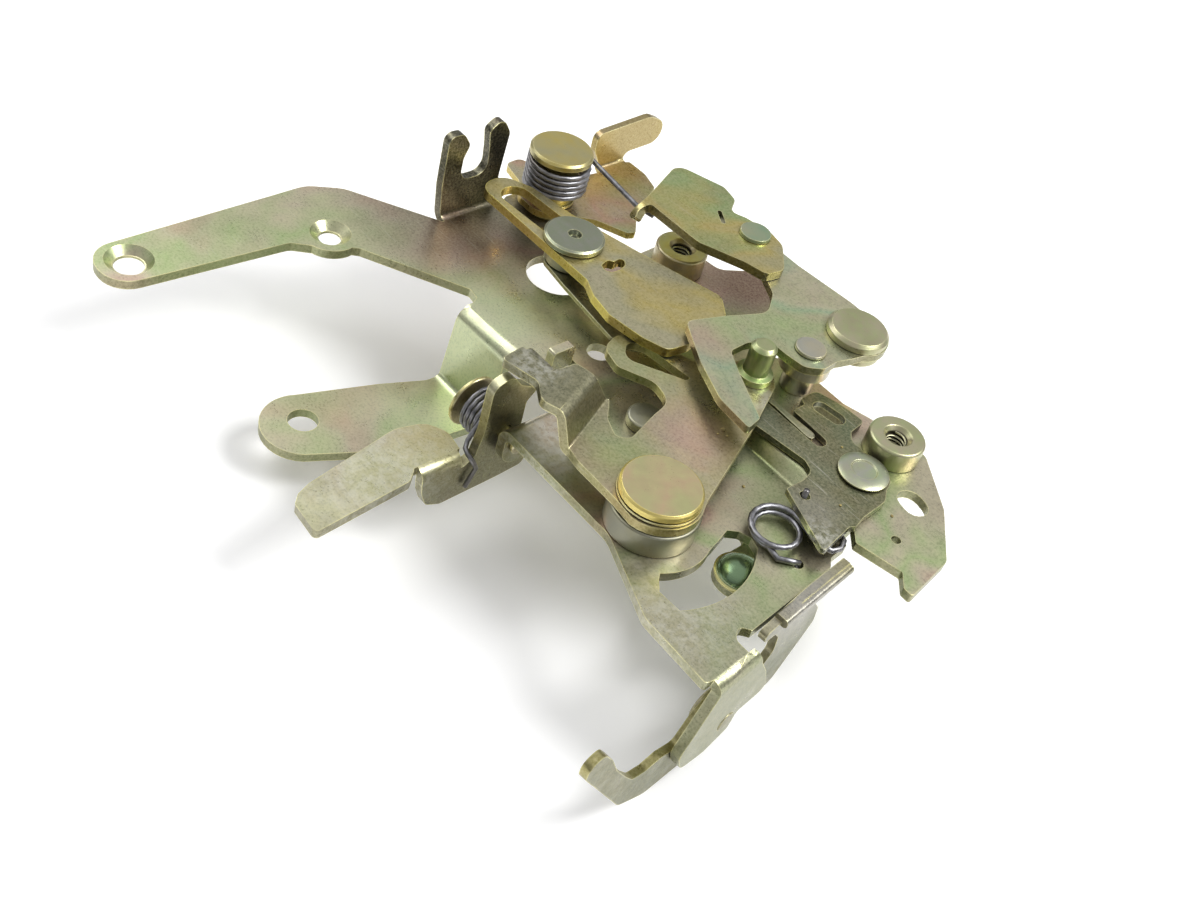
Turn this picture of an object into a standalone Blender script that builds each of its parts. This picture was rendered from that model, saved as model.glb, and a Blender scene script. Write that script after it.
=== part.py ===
# Door latch: a bent sheet base plate with its levers, pivots, bosses and springs.
# Lengths are written in millimetres and turned into metres by MM.
# Plan coordinates are the plate's own: the origin is on the main pivot's axis, X runs along
# the bend lines, Y runs towards the threaded bosses, and z = 0 is the plate's top face.
import math

import bmesh
import bpy
from mathutils import Matrix, Vector

MM = 0.001

# where the plate's own origin lies, seen from the middle of the foot's mounting face
PLATE_AT = (76.5, 20.0, 24.5)

SHEET = 2.5
GAP = 0.3
FOOT_DROP = 22.0
PLATEAU = 3.7

# plain and countersunk holes that fasten the plate
ARM_HOLE = (-127.9, -54.6)
CORNER_HOLE = (-116.9, -4.8)
FOOT_HOLE = (-80.8, -34.8)
FOOT_END = (-79.8, -35.7, 10.3)

# rivet that stops the release lever
STOP_AT = (-24.3, 21.3)
STOP_R = 2.5

# main pivot stack
LEVER_Z0, LEVER_Z1 = 6.7, 9.0
BUSH_R, BUSH_TOP = 10.8, LEVER_Z0 - GAP
HEAD_R, HEAD_TOP = 9.65, 12.0
WASHER_R, WASHER_T = HEAD_R + 0.25, 0.6
PIVOT_SHANK_R = 4.0

DOME_AT = (18.9, 13.5)

# claw lever, its post and what rides on it
CLAW_AT = (-13.0, 63.0)
CLAW_Z0, CLAW_Z1 = 13.3, 15.5
STUD_AT = (-11.3, 79.3)
FINGER_Z0, FINGER_Z1 = 15.8, 18.3
FINGER_RIVET_AT = (-51.0, 81.3)

# lock lever, link and slotted link
LOCK_AT = (18.3, 52.3)
LOCK_Z0, LOCK_Z1 = 4.0, 5.7
LINK_Z0, LINK_Z1 = 4.2, 5.4
SLIDE_AT = (-76.0, 40.2)
SLIDE_Z0, SLIDE_Z1 = 9.6, 12.1
SLOT_LEFT, SLOT_RIGHT, SLOT_HALF = (-97.0, 38.5), (-76.2, 40.2), 4.3

# finger lever on its post
POST_AT = (-101.4, 56.4)
POST_R, POST_TOP = 8.7, 19.6
HUB_R = 4.4
FINGER_LEVER_Z = (1.6, 3.6)

# paddle lever and its pin
PIN_Y, PIN_Z, PIN_R = -6.5, -5.5, 1.9
WEB_X, WEB_T = -42.0, 2.5

# flange at the right end, seen as a plane that leans a little off the Y direction
FLANGE_AT = (42.0, -19.0)
FLANGE_LEAN = math.radians(5.5)
ALONG = (-math.sin(FLANGE_LEAN), math.cos(FLANGE_LEAN))
OUT = (math.cos(FLANGE_LEAN), math.sin(FLANGE_LEAN))
HOOK_T = 2.0
HOOK_PIVOT = (11.0, -20.5)

# threaded bosses
BOSS_R, BOSS_H, BOSS_BORE, BOSS_SINK = 7.2, 5.8, 2.6, 3.7
BACK_BOSS_H = 6.8
RIGHT_BOSS_AT = (16.0, 66.9)
BACK_BOSS_AT = (-65.6, 72.6)


# Scene and materials

def clear_scene():
    for item in list(bpy.data.objects):
        bpy.data.objects.remove(item, do_unlink=True)


def new_collection(name):
    group = bpy.data.collections.new(name)
    bpy.context.scene.collection.children.link(group)
    return group


def new_material(name, colour, roughness, metallic):
    made = bpy.data.materials.new(name)
    made.use_nodes = True
    shader = made.node_tree.nodes["Principled BSDF"]
    shader.inputs["Base Color"].default_value = (*colour, 1.0)
    shader.inputs["Roughness"].default_value = roughness
    shader.inputs["Metallic"].default_value = metallic
    return made


def add_object(name, mesh, group, parent, at, material):
    made = bpy.data.objects.new(name, mesh)
    group.objects.link(made)
    made.parent = parent
    made.location = Vector(at) * MM
    if material:
        mesh.materials.append(material)
    return made


# Outlines

def arc(x, y, radius, start, end, steps=None):
    """Points along an arc, with angles in degrees."""
    if steps is None:
        steps = max(3, round(abs(end - start) / (10 if radius > 6 else 15)))
    turn = [math.radians(start + (end - start) * i / steps) for i in range(steps + 1)]
    return [(x + radius * math.cos(a), y + radius * math.sin(a)) for a in turn]


def circle(x, y, radius, steps=None):
    if steps is None:
        steps = 36 if radius > 8 else 28 if radius > 3 else 20
    return arc(x, y, radius, 0, 360 - 360 / steps, steps - 1)


def slot(x0, y0, x1, y1, radius, steps=8):
    """A round-ended slot between two centres."""
    turn = math.degrees(math.atan2(y1 - y0, x1 - x0))
    first = arc(x0, y0, radius, turn + 90, turn + 270, steps)
    return first + arc(x1, y1, radius, turn - 90, turn + 90, steps)


def outline(corners):
    """Corners are (x, y) or (x, y, radius); a radius rounds that corner with an arc."""
    points = []
    count = len(corners)
    for i, corner in enumerate(corners):
        here = Vector(corner[:2])
        radius = corner[2] if len(corner) > 2 else 0.0
        back = Vector(corners[i - 1][:2]) - here
        ahead = Vector(corners[(i + 1) % count][:2]) - here
        if radius <= 0.0:
            points.append(tuple(here))
            continue
        half = back.angle(ahead) / 2
        run = min(radius / math.tan(half), 0.49 * back.length, 0.49 * ahead.length)
        radius = run * math.tan(half)
        start, end = here + back.normalized() * run, here + ahead.normalized() * run
        middle = here + (back.normalized() + ahead.normalized()).normalized() * (radius / math.sin(half))
        sweep = math.pi - 2 * half
        steps = max(2, round(sweep / math.radians(18 if radius < 3 else 12)))
        first, last = start - middle, end - middle
        side = 1 if first.cross(last) > 0 else -1
        for k in range(steps + 1):
            turn = side * sweep * k / steps
            spun = Matrix.Rotation(turn, 2) @ first
            points.append(tuple(middle + spun))
    return points


# Sheet metal

def bend_points(points, flat, at, toward, radius, angle, where):
    """Fold every point beyond a bend line. The bend line passes through `at`, `toward` points
    across it, `radius` is to the sheet's middle, and a positive angle folds upwards."""
    turn = math.radians(abs(angle))
    side = 1 if angle > 0 else -1
    length = radius * turn
    for point, spot in zip(points, flat):
        if not where(*spot):
            continue
        s = (point.x - at[0]) * toward[0] + (point.y - at[1]) * toward[1]
        if s <= 0:
            continue
        if s < length:
            phi = s / radius
            along, up = radius * math.sin(phi), side * radius * (1 - math.cos(phi))
        else:
            over, high = s - length, point.z * side
            along = radius * math.sin(turn) + over * math.cos(turn) - high * math.sin(turn)
            up = radius * (1 - math.cos(turn)) + over * math.sin(turn) + high * math.cos(turn)
            up *= side
        point.x += (along - s) * toward[0]
        point.y += (along - s) * toward[1]
        point.z = up


def sheet(name, place, outer, holes=(), thick=SHEET, top=0.0, bends=(), lift=None):
    """A flat pattern that is filled, folded and given its thickness."""
    group, parent, material, origin = place
    bm = bmesh.new()
    for loop in (outer, *holes):
        ring = [bm.verts.new((x, y, 0.0)) for x, y in loop]
        for i, vert in enumerate(ring):
            bm.edges.new((ring[i - 1], vert))
    bmesh.ops.triangle_fill(bm, edges=bm.edges[:], use_beauty=True, normal=(0, 0, 1))
    for fold in bends:
        length = fold["radius"] * math.radians(abs(fold["angle"]))
        steps = fold.get("steps", 5)
        for k in range(steps + 1):
            reach = length * k / steps
            spot = [fold["at"][i] + fold["toward"][i] * reach for i in (0, 1)]
            parts = bm.verts[:] + bm.edges[:] + bm.faces[:]
            bmesh.ops.bisect_plane(
                bm, geom=parts, dist=1e-4, plane_co=(*spot, 0.0), plane_no=(*fold["toward"], 0.0))
    bm.verts.ensure_lookup_table()
    points = [vert.co.copy() for vert in bm.verts]
    flat = [(vert.co.x, vert.co.y) for vert in bm.verts]
    for fold in bends:
        bend_points(points, flat, fold["at"], fold["toward"], fold["radius"], fold["angle"], fold["where"])
    if lift:
        where, rise = lift
        for point, spot in zip(points, flat):
            if where(*spot):
                point += Vector(rise)
    for vert, point in zip(bm.verts, points):
        vert.co = (point + Vector((-origin[0], -origin[1], top - thick / 2 - origin[2]))) * MM
    bmesh.ops.dissolve_limit(bm, angle_limit=math.radians(1.0), verts=bm.verts[:], edges=bm.edges[:])
    bmesh.ops.triangulate(bm, faces=bm.faces[:])
    bmesh.ops.recalc_face_normals(bm, faces=bm.faces[:])
    mesh = bpy.data.meshes.new(name)
    bm.to_mesh(mesh)
    bm.free()
    made = add_object(name, mesh, group, parent, (0, 0, 0) if parent and parent.get("axis") else origin, material)
    wall = made.modifiers.new("thickness", "SOLIDIFY")
    wall.thickness = thick * MM
    wall.offset = 0.0
    wall.use_even_offset = True
    return made


def plate(name, place, outer, holes, z0, z1):
    return sheet(name, place, outer, holes, thick=z1 - z0, top=z1)


# Turned parts and wires

def turned(name, place, profile, at, axis="Z", steps=36):
    """A turned part from (radius, height) pairs, closed on its axis or as a ring."""
    group, parent, material, origin = place
    mesh = bpy.data.meshes.new(name)
    bm = bmesh.new()
    ring = [bm.verts.new((r * MM, 0, h * MM)) for r, h in profile]
    edges = [bm.edges.new((ring[i], ring[i + 1])) for i in range(len(ring) - 1)]
    if profile[0][0] > 0 or profile[-1][0] > 0:
        edges.append(bm.edges.new((ring[-1], ring[0])))
    bmesh.ops.spin(
        bm, geom=ring + edges, cent=(0, 0, 0), axis=(0, 0, 1), angle=2 * math.pi, steps=steps, use_merge=True)
    bmesh.ops.remove_doubles(bm, verts=bm.verts[:], dist=1e-6)
    bmesh.ops.recalc_face_normals(bm, faces=bm.faces[:])
    turn = {"Z": Matrix.Identity(3), "X": Matrix.Rotation(math.pi / 2, 3, "Y")}.get(axis)
    if turn is None:
        turn = Vector((0, 0, 1)).rotation_difference(Vector(axis)).to_matrix()
    shift = Vector([at[i] - origin[i] for i in range(3)]) * MM
    for vert in bm.verts:
        vert.co = turn @ vert.co + shift
    bm.to_mesh(mesh)
    bm.free()
    return add_object(name, mesh, group, parent, (0, 0, 0) if parent and parent.get("axis") else origin, material)


def wire(name, place, points, radius):
    """A round wire along a path, with flat ends."""
    group, parent, material, origin = place
    curve = bpy.data.curves.new(name, "CURVE")
    curve.dimensions = "3D"
    curve.bevel_depth = radius * MM
    curve.bevel_resolution = 2
    curve.use_fill_caps = True
    line = curve.splines.new("POLY")
    line.points.add(len(points) - 1)
    for spot, point in zip(line.points, points):
        spot.co = (*[(point[i] - origin[i]) * MM for i in range(3)], 1.0)
    return add_object(name, curve, group, parent, (0, 0, 0) if parent and parent.get("axis") else origin, material)


def prism(name, group, loop, low, high, frame):
    """A closed block from an outline, used as a joining or cutting shape."""
    x_axis, y_axis, corner = Vector(frame[0]), Vector(frame[1]), Vector(frame[2])
    normal = x_axis.cross(y_axis)
    bm = bmesh.new()
    rings = []
    for level in (low, high):
        ring = [bm.verts.new((corner + x_axis * u + y_axis * v + normal * level) * MM) for u, v in loop]
        rings.append(ring)
    bm.faces.new(rings[0][::-1])
    bm.faces.new(rings[1])
    for i in range(len(loop)):
        j = (i + 1) % len(loop)
        bm.faces.new((rings[0][i], rings[0][j], rings[1][j], rings[1][i]))
    bmesh.ops.recalc_face_normals(bm, faces=bm.faces[:])
    mesh = bpy.data.meshes.new(name)
    bm.to_mesh(mesh)
    bm.free()
    made = bpy.data.objects.new(name, mesh)
    group.objects.link(made)
    return made


def hide(item, parent):
    item.parent = parent
    item.hide_render = True
    item.display_type = "WIRE"


def combine(target, other, how):
    step = target.modifiers.new(how.lower(), "BOOLEAN")
    step.operation = how
    step.solver = "EXACT"
    step.object = other


# Base plate: one blank with the arm, fork, foot, lug, flange and plateau

def base_outline():
    foot_shift = foot_run()[1]
    rise_shift = joggle_run()[1]

    def foot(x, y, r=0.0):
        return (x, y - foot_shift, r)

    def flange(s, z, r=0.0):
        u = -3.27 - z
        return (FLANGE_AT[0] + ALONG[0] * s + OUT[0] * u, FLANGE_AT[1] + ALONG[1] * s + OUT[1] * u, r)

    def fork(y, z, r=0.0):
        return (-108.5 - (z + 2.96), y, r)

    def high(x, y, r=0.0):
        return (x, y + rise_shift, r)

    arm = [(-135.2, -62.8, 7.2), (-120.5, -62.8, 7.2), (-117.6, -16.5, 4.0)]
    arm += arc(*CORNER_HOLE, 7.7, -70, 12)
    arm += [(-108.2, -1.7, 2.0), (-82.7, 14.2, 1.2), (-79.4, 13.6, 0.6), (-78.3, 11.6)]
    legs = [foot(-78.3, 1.0, 4.0), foot(-82.9, -11.0, 8.0)]
    legs += [foot(x, y) for x, y in arc(*FOOT_END, 155, 340)]
    legs += [foot(-64.6, -27.5, 6.0), foot(-60.0, -8.0, 6.0), foot(-59.0, 4.0, 3.0)]
    legs += [(-59.0, 11.6), (-58.2, 12.4, 0.5), (-57.4, 11.6), (-57.4, 9.4, 1.0)]
    lug = [(-41.0, 9.4, 2.0), (-36.5, 6.4, 1.5), (-36.5, 3.2), (-48.6, 3.2, 3.0), (-48.6, -10.2, 5.0)]
    front = [(-36.5, -10.2), (-2.0, -10.6, 8.0), (19.5, -19.7, 6.0), (38.95, -20.4, 0.8)]
    wall = [flange(1.0, -0.4), flange(1.2, -3.6, 2.0), flange(-5.4, -19.5, 4.0), flange(-2.4, -26.4, 4.5)]
    wall += [flange(6.5, -28.2, 4.0), flange(14.2, -26.0, 1.5), flange(15.2, -20.6, 1.2)]
    wall += [flange(26.2, -20.4, 2.0), flange(21.0, -10.5, 3.0), flange(16.2, -3.6, 1.0), flange(14.6, -0.4)]
    edge = [(38.0, -6.6), (34.4, -6.6, 1.6), (32.2, -3.6, 1.4), (34.6, -1.6, 0.6), (31.9, 27.8, 1.5)]
    edge += [(29.9, 30.2, 1.5), (29.4, 36.4, 0.8), (26.8, 38.2, 0.4)]
    slit = [(26.8, 46.3), (27.6, 46.3), (27.6, 40.4)]
    tongue = [high(31.4, 35.4, 0.8), high(43.2, 38.4, 0.7), high(46.6, 34.8, 0.9), high(49.1, 34.8, 0.9)]
    tongue += [high(49.0, 36.0, 2.0), high(47.0, 50.6, 3.0), high(36.0, 63.8, 3.0), high(21.6, 74.6, 3.0)]
    back = [high(5.4, 71.9, 2.0), high(-1.8, 69.6, 2.0), high(-13.0, 69.6, 3.0), high(-24.0, 66.0, 3.0)]
    back += [(-24.0, 38.1), (-27.5, 38.1), (-27.5, 83.0, 4.0), (-36.0, 92.5, 8.0), (-54.0, 92.5, 5.0)]
    back += [(-59.0, 83.4, 4.0), (-66.0, 82.4, 6.0), (-75.0, 78.0, 6.0), (-74.4, 66.0, 2.0), (-78.0, 52.0, 4.0)]
    rail = [(-92.5, 50.5, 4.0)] + arc(POST_AT[0], POST_AT[1], 9.0, 10, 175) + [(-110.6, 48.6, 2.0)]
    tab = [(-108.5, 45.2, 0.3), fork(44.5, -2.0), fork(43.8, 9.0, 6.0), fork(44.7, 22.0, 3.0)]
    tab += [fork(41.4, 27.0, 2.2), fork(37.4, 24.0, 1.8), fork(38.4, 18.4, 4.0), fork(39.2, 10.6, 3.6)]
    tab += [fork(29.8, 10.6, 4.2), fork(29.9, 17.6, 3.0), fork(31.4, 21.4, 2.0), fork(28.8, 25.2, 2.1)]
    tab += [fork(24.0, 25.4, 2.2), fork(24.2, 10.0), fork(25.4, 0.0), fork(25.6, -2.6)]
    end = [(-108.5, 25.2, 0.3), (-109.6, 24.4, 0.6), (-131.4, 9.2, 8.0), (-136.4, 0.6, 8.0), (-136.1, -12.0, 8.0)]
    return arm + legs + lug + front + wall + edge + slit + tongue + back + rail + tab + end


def foot_run():
    """Straight wall between the two bends of the foot, and how much shorter they make it."""
    turn, radius = math.radians(84), 3.0
    straight = (FOOT_DROP - 2 * radius * (1 - math.cos(turn))) / math.sin(turn)
    real = 2 * radius * math.sin(turn) + straight * math.cos(turn)
    flat = 2 * radius * turn + straight
    return straight, flat - real


def joggle_run():
    turn, radius = math.radians(45), 2.5
    straight = (PLATEAU - 2 * radius * (1 - math.cos(turn))) / math.sin(turn)
    real = 2 * radius * math.sin(turn) + straight * math.cos(turn)
    flat = 2 * radius * turn + straight
    return straight, flat - real


def arc_window():
    outer = arc(0, 0, 25.1, -28, 34, 12)
    inner = arc(0, 0, 14.9, 26, -34, 10)
    return outer + [(18.9, 16.8), (15.9, 17.8), (13.0, 16.7), (11.2, 14.4), (12.4, 10.4)] + inner + [(13.4, -9.6), (16.0, -12.0)]


def base_holes():
    rise = joggle_run()[1]
    holes = [
        circle(*ARM_HOLE, 3.7),
        circle(*CORNER_HOLE, 2.9),
        circle(FOOT_HOLE[0], FOOT_HOLE[1] - foot_run()[1], 3.8),
        circle(*STOP_AT, STOP_R + 0.1),
        circle(0, 0, PIVOT_SHANK_R + 0.1),
        arc_window(),
        circle(-77.4, 39.0, 8.2),
        circle(-48.9, 28.6, 3.2),
        outline([
            (-52.2, 11.8), (-43.3, 11.8, 0.5), (-43.3, 20.4, 0.5), (-52.2, 20.4), (-52.2, 19.6),
            (-44.4, 19.6, 0.8), (-44.4, 12.6, 0.8), (-52.2, 12.6)]),
        circle(27.0, 21.7, 1.4),
        slot(29.6, 58.4 + rise, 31.4, 58.0 + rise, 3.3),
        circle(36.0, 44.9 + rise, 1.2),
        slot(-3.8, 60.8 + rise, 1.4, 61.6 + rise, 2.3),
        circle(LOCK_AT[0], LOCK_AT[1] + rise, 2.7),
        circle(CLAW_AT[0], CLAW_AT[1] + rise, 3.1),
        circle(RIGHT_BOSS_AT[0], RIGHT_BOSS_AT[1] + rise, 4.1),
        circle(*BACK_BOSS_AT, 4.1),
        circle(*POST_AT, 3.1),
    ]
    return holes


def base_bends():
    straight, _ = foot_run()
    climb, _ = joggle_run()
    foot_length = 3.0 * math.radians(84)
    step_length = 2.5 * math.radians(45)

    def foot(x, y):
        return -78.6 < x < -58.2 and y < 11.7 or -100 < x < -58.2 and y < -12

    def plateau(x, y):
        return -25.8 < x < 60 and y > 38.4 and (x < 27.2 or y > 46.0)

    def flange(x, y):
        return x > 37.6 and y < 20.0

    def lug(x, y):
        return x < -36.4 and x > -50 and -11 < y < 3.3

    start = [FLANGE_AT[i] - OUT[i] * 3.05 for i in (0, 1)]
    return [
        {"at": (0, 11.0 - foot_length - straight), "toward": (0, -1), "radius": 3.0, "angle": 84, "where": foot},
        {"at": (0, 11.0), "toward": (0, -1), "radius": 3.0, "angle": -84, "where": foot},
        {"at": (0, 38.5 + step_length + climb), "toward": (0, 1), "radius": 2.5, "angle": -45,
         "where": plateau, "steps": 3},
        {"at": (0, 38.5), "toward": (0, 1), "radius": 2.5, "angle": 45, "where": plateau, "steps": 3},
        {"at": start, "toward": OUT, "radius": 1.8, "angle": -90, "where": flange},
        {"at": (-108.5, 0), "toward": (-1, 0), "radius": 3.0, "angle": 90,
         "where": lambda x, y: x < -108.55 and y < 44.9 and (y > 25.3 or x < -111.4 and y > 23.4)},
        {"at": (-36.5, 0), "toward": (-1, 0), "radius": 2.5, "angle": -90, "where": lug},
        {"at": (-52.0, 0), "toward": (1, 0), "radius": 1.6, "angle": 90, "steps": 4,
         "where": lambda x, y: -52.1 < x < -44.0 and 12.5 < y < 19.7},
    ]


def tongue_region(x, y):
    return x > 27.2 and y <= 46.0 and (x - 27.6) * 3.2 + (y - 40.4) * 3.8 > -4 and y > 33


def make_base(place, tools):
    rise = joggle_run()[1]
    base = sheet(
        "base_plate", place, outline(base_outline()), base_holes(), bends=base_bends(),
        lift=(tongue_region, (0, -rise, PLATEAU)))
    parent = place[1]
    for i, (x, y, big, small, deep) in enumerate([(*ARM_HOLE, 5.9, 4.0, 1.9), (*CORNER_HOLE, 5.3, 3.2, 1.9)]):
        sink = turned(f"sink_{i}", (tools, None, None, (0, 0, 0)),
                      [(0, -deep), (small, -deep), (big, 0.02), (big, 1.0), (0, 1.0)], (x, y, 0))
        hide(sink, parent)
        combine(base, sink, "DIFFERENCE")
    tip = prism("lug_bore", tools, circle(PIN_Y, PIN_Z, PIN_R + 0.15), -42, -35, ((0, 1, 0), (0, 0, 1), (0, 0, 0)))
    hide(tip, parent)
    combine(base, tip, "DIFFERENCE")
    pivot = [FLANGE_AT[i] + ALONG[i] * HOOK_PIVOT[0] for i in (0, 1)]
    bore = prism("flange_bore", tools, circle(0, 0, 2.6), -6, 2, ((*ALONG, 0), (0, 0, 1), (*pivot, HOOK_PIVOT[1])))
    hide(bore, parent)
    combine(base, bore, "DIFFERENCE")
    return base


# Bosses, posts and rivets

def make_boss(name, place, at, floor, height):
    """A threaded spigot that is swaged into the sheet."""
    low, top, neck = floor - SHEET - 0.3, floor + height, 3.9
    profile = [
        (BOSS_BORE, low), (neck, low), (neck, floor + 0.1), (BOSS_R, floor + 0.1), (BOSS_R, top - 0.5),
        (BOSS_R - 0.5, top), (BOSS_SINK, top), (BOSS_BORE, top - 1.3)]
    return turned(name, place, profile, (*at, 0), steps=36)


def make_main_pivot(place):
    low = -SHEET - 4.6
    under = HEAD_TOP - 1.9
    profile = [
        (0, low), (5.6, low), (6.0, low + 0.4), (6.0, low + 1.6), (PIVOT_SHANK_R, low + 1.6),
        (PIVOT_SHANK_R, under), (HEAD_R, under), (HEAD_R, HEAD_TOP - 0.5), (HEAD_R - 0.5, HEAD_TOP), (0, HEAD_TOP)]
    return turned("main_pivot", place, profile, (0, 0, 0), steps=40)


def make_bushing(place):
    bore = PIVOT_SHANK_R + 0.1
    profile = [
        (bore, 0.1), (BUSH_R, 0.1), (BUSH_R, BUSH_TOP - 0.4), (BUSH_R - 0.4, BUSH_TOP), (bore, BUSH_TOP)]
    return turned("pivot_bushing", place, profile, (0, 0, 0), steps=40)


def make_washer(place):
    low, high = LEVER_Z1 + 0.2, LEVER_Z1 + 0.2 + WASHER_T
    bore = PIVOT_SHANK_R + 0.1
    profile = [(bore, low), (WASHER_R, low), (WASHER_R, high), (bore, high)]
    return turned("pivot_washer", place, profile, (0, 0, 0), steps=40)


def make_claw_post(place):
    top = CLAW_Z1 + 0.9
    low = PLATEAU - SHEET - 0.8
    profile = [
        (0, low), (4.6, low), (4.6, PLATEAU - SHEET - 0.1), (3.0, PLATEAU - SHEET - 0.1), (3.0, PLATEAU + 0.1),
        (4.2, PLATEAU + 0.1), (4.2, 9.6), (6.6, 10.2), (6.6, CLAW_Z0 - GAP), (3.0, CLAW_Z0 - GAP),
        (3.0, CLAW_Z1 + 0.2), (4.1, CLAW_Z1 + 0.2), (3.9, top), (0, top)]
    return turned("claw_post", place, profile, (*CLAW_AT, 0))


def make_claw_stud(place):
    low, top = CLAW_Z0 - 2.6, CLAW_Z1 + 2.5
    profile = [
        (0, low), (6.4, low), (7.6, low + 0.6), (7.6, CLAW_Z0 - 0.1), (3.0, CLAW_Z0 - 0.1), (3.0, CLAW_Z1 + 0.1),
        (8.1, CLAW_Z1 + 0.1), (8.1, top - 0.9), (7.2, top), (0, top)]
    return turned("claw_stud", place, profile, (*STUD_AT, 0), steps=36)


def make_finger_rivet(place):
    top = FINGER_Z1 + 1.0
    low = CLAW_Z0 - 0.9
    profile = [
        (0, low), (3.6, low), (3.6, CLAW_Z0 - 0.1), (2.2, CLAW_Z0 - 0.1), (2.2, FINGER_Z1 + 0.1),
        (4.4, FINGER_Z1 + 0.1), (4.2, top), (0, top)]
    return turned("finger_plate_rivet", place, profile, (*FINGER_RIVET_AT, 0), steps=32)


def make_release_pin(place):
    top = 19.4
    profile = [
        (0, LEVER_Z0 - 0.2), (2.5, LEVER_Z0 - 0.2), (2.5, LEVER_Z1 + 0.1), (4.7, LEVER_Z1 + 0.1),
        (4.7, LEVER_Z1 + 1.8), (3.3, LEVER_Z1 + 2.2), (3.3, top - 0.9), (2.4, top), (0, top)]
    return turned("release_pin", place, profile, (-17.3, 49.2, 0), steps=32)


def make_lock_pivot(place):
    top = 7.1
    low = PLATEAU - SHEET - 0.7
    profile = [
        (0, low), (4.0, low), (4.0, PLATEAU - SHEET - 0.1), (2.6, PLATEAU - SHEET - 0.1), (2.6, LOCK_Z1 + 0.2),
        (6.1, LOCK_Z1 + 0.2), (6.4, LOCK_Z1 + 0.5), (6.4, LOCK_Z1 + 0.8), (5.2, top), (3.3, top), (3.1, top - 0.3),
        (0, top - 0.3)]
    return turned("lock_pivot", place, profile, (*LOCK_AT, 0), steps=36)


def make_slide_stud(place):
    low, top = LINK_Z0 - 1.2, SLIDE_Z1 + 1.9
    profile = [
        (0, low), (4.4, low), (4.4, LINK_Z0 - 0.1), (2.4, LINK_Z0 - 0.1), (2.4, LINK_Z1 + 0.1),
        (3.3, LINK_Z1 + 0.1), (3.3, SLIDE_Z1 + GAP), (8.0, SLIDE_Z1 + GAP), (8.0, top - 0.4), (7.4, top),
        (1.8, top), (1.5, top - 1.5), (0, top - 1.5)]
    return turned("slide_stud", place, profile, (*SLIDE_AT, 0), steps=36)


def make_slide_disc(place):
    low, high = LINK_Z1 + GAP, SLIDE_Z0 - GAP
    profile = [(3.5, low), (6.2, low), (6.2, high), (3.5, high)]
    return turned("slide_spacer", place, profile, (*SLIDE_AT, 0), steps=36)


def make_finger_post(place):
    top = POST_TOP
    profile = [
        (0, -SHEET - 0.8), (4.6, -SHEET - 0.8), (4.6, -SHEET - 0.1), (3.0, -SHEET - 0.1), (3.0, 0.1),
        (6.2, 0.1), (6.2, 1.3), (HUB_R, 1.3), (HUB_R, 4.0), (6.4, 4.0), (6.4, 4.8), (5.6, 4.8), (5.6, top - 1.9),
        (POST_R, top - 1.9), (POST_R, top - 0.6), (POST_R - 0.6, top), (0, top)]
    return turned("finger_post", place, profile, (*POST_AT, 0), steps=36)


def make_paddle_pin(place):
    profile = [
        (0, -54.8), (6.7, -54.8), (7.0, -54.5), (7.0, -53.9), (6.8, -53.6), (2.6, -53.6), (2.6, -53.0),
        (PIN_R, -53.0), (PIN_R, -37.4), (2.2, -37.4), (2.2, -36.6), (1.9, -36.3), (0, -36.3)]
    return turned("paddle_pin", place, profile, (0, PIN_Y, PIN_Z), axis="X", steps=24)


def make_hook_rivet(place):
    x = FLANGE_AT[0] + ALONG[0] * HOOK_PIVOT[0]
    y = FLANGE_AT[1] + ALONG[1] * HOOK_PIVOT[0]
    back = -SHEET - GAP - HOOK_T
    profile = [
        (0, back - 1.9), (4.4, back - 1.9), (4.8, back - 1.5), (4.8, back - 0.2), (2.5, back - 0.2), (2.5, 0.1),
        (2.3, 0.2), (0, 0.2)]
    return turned("hook_rivet", place, profile, (x, y, HOOK_PIVOT[1]), axis=(*OUT, 0), steps=28)


def make_stop_rivet(place):
    top = 2.6
    profile = [
        (0, -SHEET - 0.8), (4.0, -SHEET - 0.8), (4.0, -SHEET - 0.1), (STOP_R, -SHEET - 0.1), (STOP_R, 0.1),
        (4.7, 0.1), (4.7, top - 0.4), (4.3, top), (0, top)]
    return turned("stop_rivet", place, profile, (*STOP_AT, 0), steps=32)


def make_dome_stud(place):
    low = -SHEET - 0.8 - 2.0 - 3.6
    profile = [(0, low - 0.9), (3.6, low - 0.9), (3.6, low - 0.1), (2.2, low - 0.1), (2.2, low + 2.1), (6.2, low + 2.1)]
    profile += [(6.2, low + 2.7)]
    profile += [(5.4 * math.cos(math.radians(a)), low + 2.8 + 2.7 * math.sin(math.radians(a))) for a in (0, 18, 36, 54, 74)]
    profile += [(0, low + 5.55)]
    return turned("dome_stud", place, profile, (*DOME_AT, 0), steps=36)


# Levers

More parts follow.
